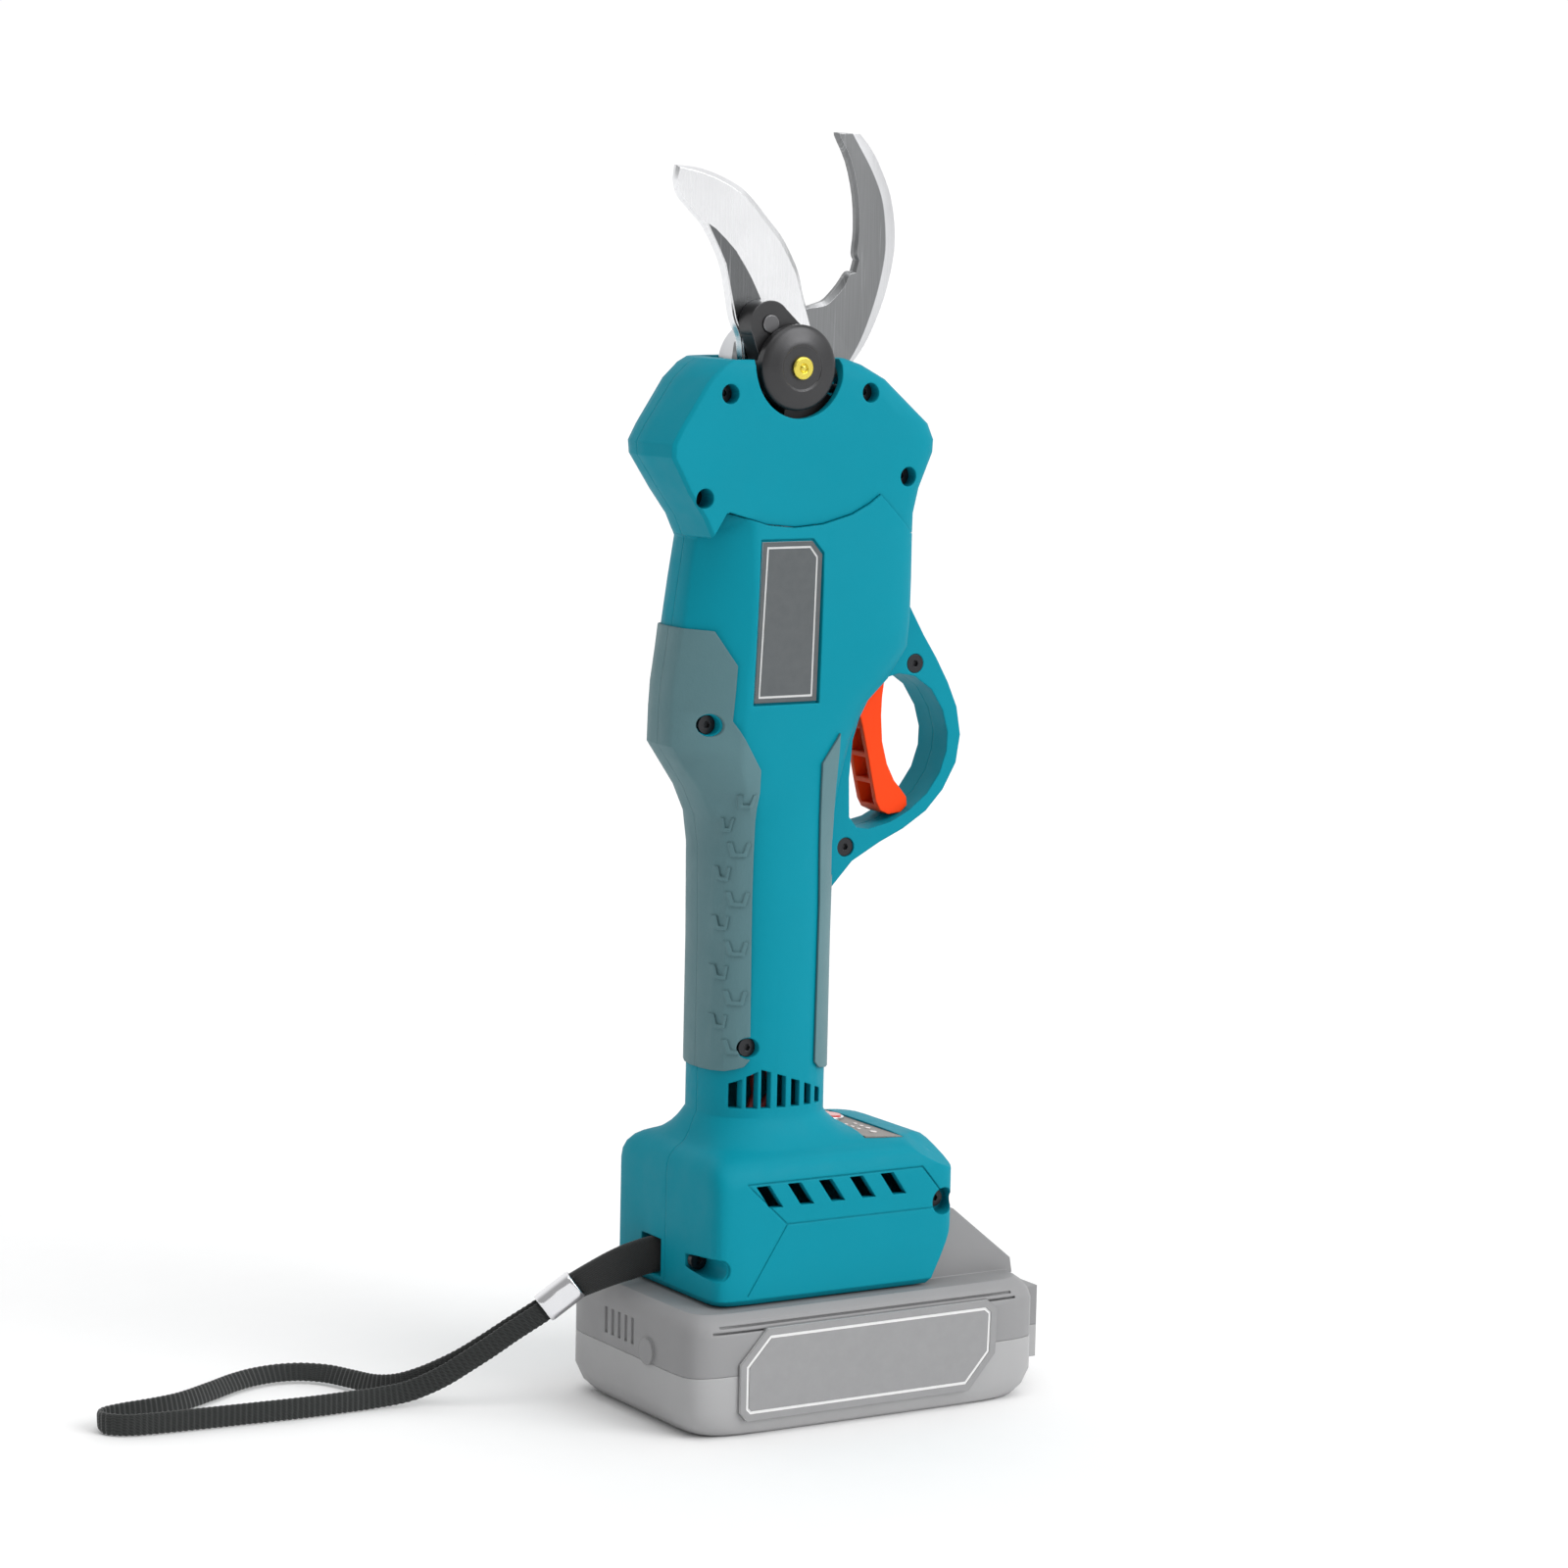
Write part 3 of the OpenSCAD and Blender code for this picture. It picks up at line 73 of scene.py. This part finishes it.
def sun(name, azimuth, elevation, strength, spread):
    data = bpy.data.lights.new(name, "SUN")
    data.energy, data.angle = strength, math.radians(spread)
    lamp = bpy.data.objects.new(name, data)
    turn, back = aim(azimuth, elevation)
    lamp.matrix_world = Matrix.Translation(back) @ turn.to_4x4()
    bpy.context.scene.collection.objects.link(lamp)


def make_sky():
    """White cloth behind the object and dimmer cloth in front of it and to its left."""
    world = bpy.data.worlds.new("studio")
    bpy.context.scene.world = world
    world.use_nodes = True
    tree = world.node_tree
    place = tree.nodes.new("ShaderNodeTexCoord")
    toward = tree.nodes.new("ShaderNodeVectorMath")
    toward.operation = "DOT_PRODUCT"
    bright_side = (0.55, 0.82, 0.12)
    toward.inputs[1].default_value = bright_side
    level = tree.nodes.new("ShaderNodeMapRange")
    level.interpolation_type = "SMOOTHSTEP"
    for key, number in (("From Min", -0.5), ("From Max", 0.75), ("To Min", 0.42), ("To Max", 1.02)):
        level.inputs[key].default_value = number
    tree.links.new(place.outputs["Generated"], toward.inputs[0])
    tree.links.new(toward.outputs["Value"], level.inputs["Value"])
    tree.links.new(level.outputs["Result"], tree.nodes["Background"].inputs["Strength"])
    tree.nodes["Background"].inputs["Color"].default_value = (1, 1, 1, 1)


def make_studio():
    make_sky()
    sun("key", 30, 30, 1.75, 38)
    sun("top", -10, 72, 0.9, 50)
    bpy.ops.mesh.primitive_plane_add(size=400, location=(0, 0, 0))
    floor = bpy.context.object
    floor.name = "floor"
    floor.data.materials.append(make_material("floor_paint", (0.86, 0.86, 0.86), rough=0.75, vary=0.01))
    bpy.context.scene.view_settings.view_transform = "Standard"


# ---------------------------------------------------------------- materials
class Graph:
    """A material's node tree, with a short way to add and join nodes."""

    def __init__(self, name):
        self.material = bpy.data.materials.new(name)
        self.material.use_nodes = True
        self.tree = self.material.node_tree
        self.shader = self.tree.nodes["Principled BSDF"]
        self.place = self.add("ShaderNodeTexCoord").outputs["Object"]

    def add(self, kind, **settings):
        node = self.tree.nodes.new(kind)
        for key, value in settings.items():
            setattr(node, key, value)
        return node

    def join(self, source, socket):
        self.tree.links.new(source, socket)

    def stretched(self, scale, turn=(0, 0, 0)):
        """Object coordinates turned by degrees and then scaled."""
        node = self.add("ShaderNodeMapping", vector_type="POINT")
        node.inputs["Scale"].default_value = scale
        node.inputs["Rotation"].default_value = [math.radians(x) for x in turn]
        self.join(self.place, node.inputs["Vector"])
        return node.outputs["Vector"]

    def noise(self, scale, detail=3.0, vector=None, rough=0.55):
        node = self.add("ShaderNodeTexNoise")
        node.inputs["Scale"].default_value = scale
        node.inputs["Detail"].default_value = detail
        node.inputs["Roughness"].default_value = rough
        self.join(vector or self.place, node.inputs["Vector"])
        return node.outputs["Fac"]

    def ramp(self, value, low, high, to_low=0.0, to_high=1.0):
        node = self.add("ShaderNodeMapRange", clamp=True)
        self.join(value, node.inputs["Value"])
        for key, number in (("From Min", low), ("From Max", high), ("To Min", to_low), ("To Max", to_high)):
            node.inputs[key].default_value = number
        return node.outputs["Result"]

    def mix(self, share, a, b):
        """Colour a where share is 0 and b where it is 1. a and b are sockets or three numbers."""
        node = self.add("ShaderNodeMix", data_type="RGBA")
        for socket, value in ((node.inputs[6], a), (node.inputs[7], b)):
            if isinstance(value, bpy.types.NodeSocket):
                self.join(value, socket)
            else:
                socket.default_value = (*value, 1)
        self.join(share, node.inputs[0])
        return node.outputs[2]

    def maths(self, operation, a, b):
        node = self.add("ShaderNodeMath", operation=operation)
        for socket, value in zip(node.inputs, (a, b)):
            if isinstance(value, bpy.types.NodeSocket):
                self.join(value, socket)
            else:
                socket.default_value = value
        return node.outputs[0]

    def edge_mask_and_rounded_normal(self, radius):
        """1 near the object's sharp edges, 0 away from them, and the rounded normal."""
        bevel = self.add("ShaderNodeBevel", samples=6)
        bevel.inputs["Radius"].default_value = radius
        geometry = self.add("ShaderNodeNewGeometry")
        dot = self.add("ShaderNodeVectorMath", operation="DOT_PRODUCT")
        self.join(bevel.outputs["Normal"], dot.inputs[0])
        self.join(geometry.outputs["Normal"], dot.inputs[1])
        unbent, sharp = 0.995, 0.88
        return self.ramp(dot.outputs["Value"], unbent, sharp), bevel.outputs["Normal"]

    def bump(self, height, depth, strength=1.0, normal=None):
        node = self.add("ShaderNodeBump")
        node.inputs["Distance"].default_value = depth
        node.inputs["Strength"].default_value = strength
        self.join(height, node.inputs["Height"])
        if normal is not None:
            self.join(normal, node.inputs["Normal"])
        return node.outputs["Normal"]


def scaled(colour, factor):
    return tuple(min(1.0, c * factor) for c in colour)


def make_material(
    name, colour, rough=0.5, metal=0.0, vary=0.05, grain=None, edge=None, edge_light=1.25, sheen=0.0,
    coat=0.0, specular=0.5
):
    """Plain moulded or machined stuff: cloudy colour, grain, and a painted highlight that lightens the
    edges.
    grain is (how many per metre, depth in metres); edge is the radius of the rounded look in metres."""
    g = Graph(name)
    cloud = g.noise(38, 4)
    base = g.mix(cloud, scaled(colour, 1 - vary), scaled(colour, 1 + vary))
    normal = None
    if edge:
        edge_highlight, normal = g.edge_mask_and_rounded_normal(edge)
        # painted highlight: the colour is lightened along sharp edges, halfway towards edge_light times the
        # colour
        base = g.mix(g.maths("MULTIPLY", edge_highlight, 0.5), base, scaled(colour, edge_light))
    g.join(base, g.shader.inputs["Base Color"])
    g.join(g.ramp(g.noise(120, 5), 0.3, 0.7, rough * 0.88, rough * 1.12), g.shader.inputs["Roughness"])
    if grain:
        normal = g.bump(g.noise(grain[0], 2), grain[1], 1.0, normal)
    if normal is not None:
        g.join(normal, g.shader.inputs["Normal"])
    g.shader.inputs["Metallic"].default_value = metal
    g.shader.inputs["Sheen Weight"].default_value = sheen
    g.shader.inputs["Coat Weight"].default_value = coat
    g.shader.inputs["Specular IOR Level"].default_value = specular
    return g.material


def brushed(name, colour, rough, turn, lines=2600, edge=0.0002, depth=0.000006, shade=0.08, flat=None,
            front=0.0, dull_side=False):
    """Ground steel: fine lines along one direction, with a few long scratches.
    flat is a darker colour for the faces that lie further forward than Y = front, in metres.
    With dull_side the faces turned to -X keep that colour too."""
    g = Graph(name)
    streak = g.noise(1, 3, g.stretched((lines, 40, 40), turn))
    scratch = g.noise(1, 2, g.stretched((900, 20, 20), (turn[0], turn[1] + 63, turn[2])))
    line = g.ramp(scratch, 0.68, 0.71)
    base = g.mix(g.noise(60, 3), scaled(colour, 1 - shade), scaled(colour, 1 + shade))
    base = g.mix(g.ramp(streak, 0.35, 0.65, 0, 0.3), base, scaled(colour, 0.8))
    if flat:
        height = g.add("ShaderNodeSeparateXYZ")
        g.join(g.place, height.inputs[0])
        ground = g.ramp(height.outputs["Y"], front - SLACK, front + SLACK)
        if dull_side:
            facing = g.add("ShaderNodeSeparateXYZ")
            g.join(g.add("ShaderNodeTexCoord").outputs["Normal"], facing.inputs[0])
            ground = g.maths("MULTIPLY", ground, g.ramp(facing.outputs["X"], -0.35, -0.05))
        unground = g.mix(g.ramp(streak, 0.35, 0.65, 0, 0.5), flat, scaled(flat, 0.75))
        base = g.mix(ground, g.mix(g.ramp(scratch, 0.62, 0.66, 0, 0.5), unground, scaled(flat, 1.6)), base)
    edge_highlight, normal = g.edge_mask_and_rounded_normal(edge)
    # painted highlight: the steel colour is lightened along sharp edges
    base = g.mix(g.maths("MULTIPLY", edge_highlight, 0.5), base, scaled(colour, 1.4))
    base = g.mix(g.maths("MULTIPLY", line, 0.15), base, scaled(colour, 1.5))
    g.join(base, g.shader.inputs["Base Color"])
    g.join(g.ramp(streak, 0.3, 0.7, rough * 0.85, rough * 1.2), g.shader.inputs["Roughness"])
    g.join(g.bump(streak, depth, 1.0, normal), g.shader.inputs["Normal"])
    g.shader.inputs["Metallic"].default_value = 1.0
    return g.material


def plate_material(name, dark, light, ink, groove, rough):
    """Satin plate with an engraved border line that is filled with ink.
    groove is how near to and how far from the object's middle plane the filled floor lies, in metres."""
    g = Graph(name)
    place = g.add("ShaderNodeSeparateXYZ")
    g.join(g.place, place.inputs[0])
    reach = g.maths("ABSOLUTE", place.outputs["Y"], 0.0)
    near, far = groove
    line = g.ramp(reach, far + SLACK, far - SLACK)
    line = g.maths("MULTIPLY", line, g.ramp(reach, near - SLACK, near + SLACK))
    g.join(g.mix(line, g.mix(g.noise(300, 4), dark, light), ink), g.shader.inputs["Base Color"])
    normal = g.edge_mask_and_rounded_normal(0.0002)[1]
    g.join(g.bump(g.noise(3500, 2), 0.00002, 1.0, normal), g.shader.inputs["Normal"])
    g.join(g.ramp(g.noise(90, 4), 0.3, 0.7, rough * 0.8, rough * 1.2), g.shader.inputs["Roughness"])
    return g.material


def webbing_material(name, colour, per_metre):
    """Woven black tape: a twill that runs slantwise, slightly hairy."""
    g = Graph(name)
    wave = g.add("ShaderNodeTexWave", wave_type="BANDS", bands_direction="DIAGONAL")
    wave.inputs["Scale"].default_value = per_metre
    wave.inputs["Distortion"].default_value = 1.2
    wave.inputs["Detail"].default_value = 2
    g.join(g.place, wave.inputs["Vector"])
    thread = wave.outputs["Fac"]
    fuzz = g.noise(2600, 3)
    base = g.mix(thread, scaled(colour, 0.45), scaled(colour, 1.5))
    base = g.mix(g.ramp(fuzz, 0.55, 0.8, 0, 0.5), base, scaled(colour, 2.4))
    g.join(base, g.shader.inputs["Base Color"])
    g.join(g.bump(thread, 0.0001, 0.8, g.bump(fuzz, 0.00006, 0.7)), g.shader.inputs["Normal"])
    g.join(g.ramp(fuzz, 0.3, 0.7, 0.75, 0.95), g.shader.inputs["Roughness"])
    g.shader.inputs["Sheen Weight"].default_value = 0.25
    return g.material


make_camera()
# finish of each material slot of the record
FINISH = {
    "teal_shell": make_material("teal_shell", (0.0, 0.235, 0.315), 0.55, grain=(2600, 0.00003), edge=0.0008,
                                vary=0.035, specular=0.1),
    "soft_grip": make_material("soft_grip", (0.09, 0.185, 0.205), 0.72, grain=(1500, 0.00005), edge=0.0006,
                               vary=0.09, sheen=0.1, specular=0.3),
    "plate": plate_material("plate_paint", (0.062, 0.07, 0.075), (0.09, 0.1, 0.105), (0.66, 0.67, 0.67),
                            (0, 0.01988), 0.42),
    "panel": make_material("panel", (0.17, 0.15, 0.135), 0.4, grain=(3000, 0.00001), edge=0.0003),
    "bright_ring": make_material("bright_ring", (0.78, 0.78, 0.8), 0.16, 1.0, grain=(900, 0.00001),
                                 edge=0.0004),
    "light": make_material("light", (0.6, 0.075, 0.07), 0.22, edge=0.0004, coat=0.5),
    "black_screw": make_material("black_screw", (0.016, 0.017, 0.02), 0.3, 0.4, edge=0.0002, edge_light=4),
    "orange_trigger": make_material("orange_trigger", (0.92, 0.058, 0.006), 0.46, grain=(2400, 0.00002),
                                    edge=0.0008, specular=0.12),
    "plain_steel": make_material("plain_steel", (0.62, 0.63, 0.65), 0.3, 1.0, grain=(1800, 0.00001),
                                 edge=0.0003),
    "copper_wound": make_material("copper_wound", (0.62, 0.28, 0.12), 0.35, 0.9, grain=(900, 0.0001),
                                  edge=0.0003),
    "black_iron": make_material("black_iron", (0.052, 0.052, 0.054), 0.36, 0.75, grain=(1400, 0.00002),
                                edge=0.0005, edge_light=3.2, vary=0.12),
    "circuit": make_material("circuit", (0.015, 0.12, 0.05), 0.4, grain=(1200, 0.00003), edge=0.0002),
    "cast_alloy": make_material("cast_alloy", (0.66, 0.67, 0.69), 0.42, 1.0, grain=(1700, 0.00003),
                                edge=0.0005),
    "blade_steel": brushed("blade_steel", (0.84, 0.845, 0.86), 0.24, (0, 62, 0), shade=0.1,
                           flat=(0.16, 0.165, 0.17), front=-0.0049),
    "hook_steel": brushed("hook_steel", (0.66, 0.665, 0.68), 0.34, (0, -38, 0), shade=0.15,
                          flat=(0.23, 0.235, 0.24), front=-0.00184, dull_side=True),
    "brass_fitting": make_material("brass_fitting", (0.72, 0.6, 0.1), 0.25, 0.9, grain=(1500, 0.00001),
                                   edge=0.0003),
    "lead_sleeve": make_material("lead_sleeve", (0.35, 0.03, 0.03), 0.5, grain=(1500, 0.00002)),
    "black_plastic": make_material("black_plastic", (0.03, 0.03, 0.033), 0.5, grain=(1800, 0.00003),
                                   edge=0.0004, edge_light=2.5),
    "pack_case": make_material("pack_case", (0.25, 0.25, 0.255), 0.5, grain=(2200, 0.00003), edge=0.0007),
    "pack_lower": make_material("pack_lower", (0.36, 0.36, 0.365), 0.5, grain=(2200, 0.00003), edge=0.0007),
    "cell_sleeve": make_material("cell_sleeve", (0.04, 0.2, 0.09), 0.3, edge=0.0005, coat=0.4),
    "webbing": webbing_material("webbing", (0.012, 0.014, 0.0135), 700),
}
# nodes whose finish differs from that of their slot
NODE_FINISH = {
    "pack_side_plates": plate_material("pack_plate", (0.25, 0.25, 0.255), (0.29, 0.29, 0.295),
                                       (0.85, 0.85, 0.85), (0.0411, 0.0413), 0.5),
    "status_leds": make_material("led_window", (0.72, 0.62, 0.6), 0.22, coat=0.5),
    "drive_pin": make_material("pin_steel", (0.13, 0.13, 0.135), 0.34, 0.8, grain=(1800, 0.00001),
                               edge=0.0005, edge_light=3.5),
}
make_studio()


# ---------------------------------------------------------------- strap
def spread_line(points, per_step):
    """A smooth line through the points, as a Catmull-Rom curve."""
    out = []
    last = len(points) - 1
    for i in range(last):
        a, b, c, d = (points[min(max(i + k, 0), last)] for k in (-1, 0, 1, 2))
        for j in range(per_step):
            t = j / per_step
            square, cube = 2 * a - 5 * b + 4 * c - d, 3 * b - a - 3 * c + d
            out.append(0.5 * ((2 * b) + (c - a) * t + square * t * t + cube * t**3))
    out.append(points[-1].copy())
    return out


def along(line):
    """Distance from the start of the line to each of its points."""
    total = [0.0]
    for a, b in zip(line, line[1:]):
        total.append(total[-1] + (b - a).length)
    return total


def resampled(line, step):
    """The line again, with points that far apart."""
    reach = along(line)
    count = max(2, int(reach[-1] / step))
    out, k = [], 0
    for i in range(count + 1):
        want = reach[-1] * i / count
        while k < len(reach) - 2 and reach[k + 1] < want:
            k += 1
        share = (want - reach[k]) / max(1e-12, reach[k + 1] - reach[k])
        out.append(line[k].lerp(line[k + 1], share))
    return out


def tape(line, width, thick, rib_pitch, rib_depth, lean, vertices, faces, material_of, material):
    """Adds a woven tape: a flat oval section swept along the line, with a rib at every rib_pitch.
    width, thick and lean (degrees from upright) are functions of the share of the length."""
    around = 16
    reach = along(line)
    start = len(vertices)
    for i, point in enumerate(line):
        ahead = (line[min(i + 1, len(line) - 1)] - line[max(i - 1, 0)]).normalized()
        side = Vector((-ahead.y, ahead.x, 0)).normalized()
        up = ahead.cross(side) * (-1 if ahead.cross(side).z < 0 else 1)
        share = reach[i] / reach[-1]
        a = math.radians(lean(share))
        up, side = up * math.cos(a) + side * math.sin(a), side * math.cos(a) - up * math.sin(a)
        rib = 0.5 + 0.5 * math.cos(2 * math.pi * reach[i] / rib_pitch)
        half_w, half_t = width(share) / 2, thick(share) / 2 - rib_depth * (1 - rib)
        for k in range(around):
            c, s = math.cos(2 * math.pi * k / around), math.sin(2 * math.pi * k / around)
            flat = math.copysign(abs(c) ** 0.5, c)
            full = math.copysign(abs(s) ** 0.75, s)
            rise = up * (flat * (half_w - rib_depth * 0.5 * (1 - rib)))
            vertices.append(point + rise + side * (full * half_t))
    rings = len(line)
    for i in range(rings - 1):
        for k in range(around):
            n = (k + 1) % around
            a, b = start + i * around, start + (i + 1) * around
            faces.append((a + k, a + n, b + n, b + k))
            material_of.append(material)
    faces.append(tuple(start + k for k in reversed(range(around))))
    faces.append(tuple(start + (rings - 1) * around + k for k in range(around)))
    material_of += [material, material]


def mesh_object(name, vertices, faces, materials, material_of=None):
    data = bpy.data.meshes.new(name)
    data.from_pydata([tuple(v) for v in vertices], [], faces)
    data.validate()
    for m in materials:
        data.materials.append(m)
    if material_of:
        for polygon, index in zip(data.polygons, material_of):
            polygon.material_index = index
    data.polygons.foreach_set("use_smooth", [True] * len(data.polygons))
    data.update()
    made = bpy.data.objects.new(name, data)
    bpy.context.scene.collection.objects.link(made)
    return made


STRAP_LEAD = [(-24.4, 8.5, 49), (-31.2, 8.7, 48.6), (-40.4, 11, 45.8), (-47, 13.6, 42.8), (-54, 16.8, 39)]
STRAP_LOOP = [
    (-53, 15, 39.8), (-57.6, 16.8, 36.4), (-63.4, 19, 31.6), (-72.6, 23, 25), (-79, 26.4, 19.8),
    (-85.4, 30, 14.8), (-91, 33.2, 10.6), (-97, 36.8, 7), (-103, 39.4, 4.8), (-113, 41, 3.8),
    (-124, 41, 3.7), (-136, 41, 3.7), (-154, 42.2, 3.7), (-172, 43.6, 3.7), (-185, 44.8, 3.7),
    (-193, 46.4, 3.7), (-198, 50, 3.7), (-199, 55, 3.7), (-196, 59, 3.7), (-189, 61, 3.7),
    (-178, 62.2, 3.7), (-167, 65, 3.7), (-153, 72.6, 3.7), (-144, 78, 3.7), (-135, 81.8, 3.7),
    (-126, 83, 3.7), (-118, 81, 3.7), (-111.6, 75, 3.7), (-108, 66, 3.8), (-105, 55, 4.4), (-101, 47, 6),
    (-95.6, 41.4, 8.8), (-90, 37, 12.2), (-84.6, 33.4, 15.8), (-78.4, 29.6, 20.6), (-71.8, 26, 25.8),
    (-62.8, 22, 32.2), (-57, 19.8, 36.6), (-52.6, 18, 40),
]
# X at which the centre line leaves the lead, 3 mm short of the sleeve, and joins the loop inside it
LEAD_END, LOOP_START = -50.5 * MM, -57.5 * MM


def make_strap():
    lead = resampled(spread_line([Vector(p) * MM for p in STRAP_LEAD], 8), 0.4 * MM)
    loop = resampled(spread_line([Vector(p) * MM for p in STRAP_LOOP], 8), 0.24 * MM)
    vertices, faces, material_of = [], [], []
    near_run, far_run = 7.0 * MM, 6.2 * MM
    most_lean = 34

    def lead_width(s):
        """12 mm wide at the handle, and narrower from 0.45 of the way on."""
        return (12 - 3.2 * max(0.0, s - 0.45) / 0.55) * MM

    def loop_width(s):
        return near_run if s < 0.46 else far_run

    def loop_lean(s):
        return 0 if s < 0.42 else most_lean * math.sin(math.pi * min(1.0, (s - 0.42) / 0.5)) ** 2

    tape(lead, lead_width, lambda s: 3.4 * MM, 1.3 * MM, 0.08 * MM, lambda s: 0, vertices, faces,
         material_of, 1)
    tape(loop, loop_width, lambda s: 2.1 * MM, 1.9 * MM, 0.34 * MM, loop_lean, vertices, faces,
         material_of, 0)
    lead_weave = webbing_material("webbing_twill", (0.016, 0.0165, 0.0165), 1100)
    strap = mesh_object("strap_webbing", vertices, faces, [FINISH["webbing"], lead_weave], material_of)
    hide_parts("strap")
    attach(strap, "tool")
    middle = len(loop) / 2
    centre_line = [p for p in lead if p.x > LEAD_END]
    centre_line += [p for k, p in enumerate(loop) if p.x < LOOP_START or k > middle]
    return strap, centre_line


def make_clamp():
    """Crimped sleeve of bright sheet metal, a flat tube with round corners."""
    length, wide, deep, wall, corner = 13 * MM, 9.4 * MM, 7.4 * MM, 0.6 * MM, 2.6 * MM
    pinch_depth, pinch_spread, lip_depth = 0.35 * MM, 0.16, 0.25 * MM
    steps, per_corner = 26, 7

    def ring(shrink, x, pinch):
        points = []
        for quarter in range(4):
            for k in range(per_corner):
                a = math.radians(quarter * 90 + k * 90 / (per_corner - 1))
                cy = (1 if quarter in (0, 3) else -1) * (deep / 2 - corner)
                cz = (1 if quarter in (0, 1) else -1) * (wide / 2 - corner)
                r = corner - shrink
                y, z = cy + r * math.cos(a), cz + r * math.sin(a)
                dent = pinch * math.exp(-((z / (2.2 * MM)) ** 2)) * (1 if y > 0 else -1)
                points.append(Vector((x, y - dent, z)))
        return points

    vertices, faces = [], []
    rings = []
    for shrink in (0, wall):
        for i in range(steps + 1):
            share = i / steps
            x = (share - 0.5) * length
            pinch = pinch_depth * math.exp(-(((share - 0.5) / pinch_spread) ** 2))
            lip = lip_depth * max(0.0, 1 - min(share, 1 - share) * 14)
            rings.append(ring(shrink + (lip if shrink == 0 else -lip * 0.2), x, pinch))
    count = len(rings[0])
    for r in rings:
        vertices += r
    half = steps + 1
    for i in range(steps):
        for k in range(count):
            n = (k + 1) % count
            a, b = i * count, (i + 1) * count
            faces.append((a + k, b + k, b + n, a + n))
            a, b = (half + i) * count, (half + i + 1) * count
            faces.append((a + k, a + n, b + n, b + k))
    for i in (0, steps):
        for k in range(count):
            n = (k + 1) % count
            a, b = i * count, (half + i) * count
            faces.append((a + k, a + n, b + n, b + k) if i == 0 else (a + k, b + k, b + n, a + n))
    clamp = mesh_object("crimp_sleeve", vertices, faces, [FINISH["bright_ring"]])
    clamp.matrix_world = (
        Matrix.Translation(Vector((-58.2, 18.6, 35.8)) * MM)
        @ Matrix.Rotation(math.radians(158), 4, "Z")
        @ Matrix.Rotation(math.radians(38), 4, "Y")
    )
    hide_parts("strap_clamp")
    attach(clamp, "tool")
    return clamp


strap, strap_line = make_strap()
clamp = make_clamp()


# ---------------------------------------------------------------- CAD nodes: smooth shading and finishes
def smooth_by_angle(degrees):
    """A geometry group that shades faces smooth and keeps edges sharper than the angle."""
    group = bpy.data.node_groups.new("smooth_by_angle", "GeometryNodeTree")
    group.interface.new_socket("Geometry", in_out="INPUT", socket_type="NodeSocketGeometry")
    group.interface.new_socket("Geometry", in_out="OUTPUT", socket_type="NodeSocketGeometry")
    start, end = group.nodes.new("NodeGroupInput"), group.nodes.new("NodeGroupOutput")
    faces = group.nodes.new("GeometryNodeSetShadeSmooth")
    faces.domain = "FACE"
    edges = group.nodes.new("GeometryNodeSetShadeSmooth")
    edges.domain = "EDGE"
    edges.inputs["Shade Smooth"].default_value = False
    angle = group.nodes.new("GeometryNodeInputMeshEdgeAngle")
    sharper = group.nodes.new("FunctionNodeCompare")
    sharper.data_type, sharper.operation = "FLOAT", "GREATER_THAN"
    sharper.inputs[1].default_value = math.radians(degrees)
    group.links.new(start.outputs[0], faces.inputs["Geometry"])
    group.links.new(faces.outputs["Geometry"], edges.inputs["Geometry"])
    group.links.new(angle.outputs["Unsigned Angle"], sharper.inputs[0])
    group.links.new(sharper.outputs[0], edges.inputs["Selection"])
    group.links.new(edges.outputs["Geometry"], end.inputs[0])
    return group


def dress_nodes():
    """Gives each CAD node its slot's finish, and merges its seams so that it shades smooth."""
    slots = {s["node"]: s["material_slot"] for s in frame["record"]["subparts"]}
    smoother = smooth_by_angle(28)
    for name, node in nodes.items():
        node.data.materials.clear()
        node.data.materials.append(NODE_FINISH.get(name, FINISH[slots[name]]))
        if "custom_normal" in node.data.attributes:
            node.data.attributes.remove(node.data.attributes["custom_normal"])
        weld = node.modifiers.new("weld", "WELD")
        weld.merge_threshold = 0.000004
        smooth = node.modifiers.new("smooth", "NODES")
        smooth.node_group = smoother


dress_nodes()
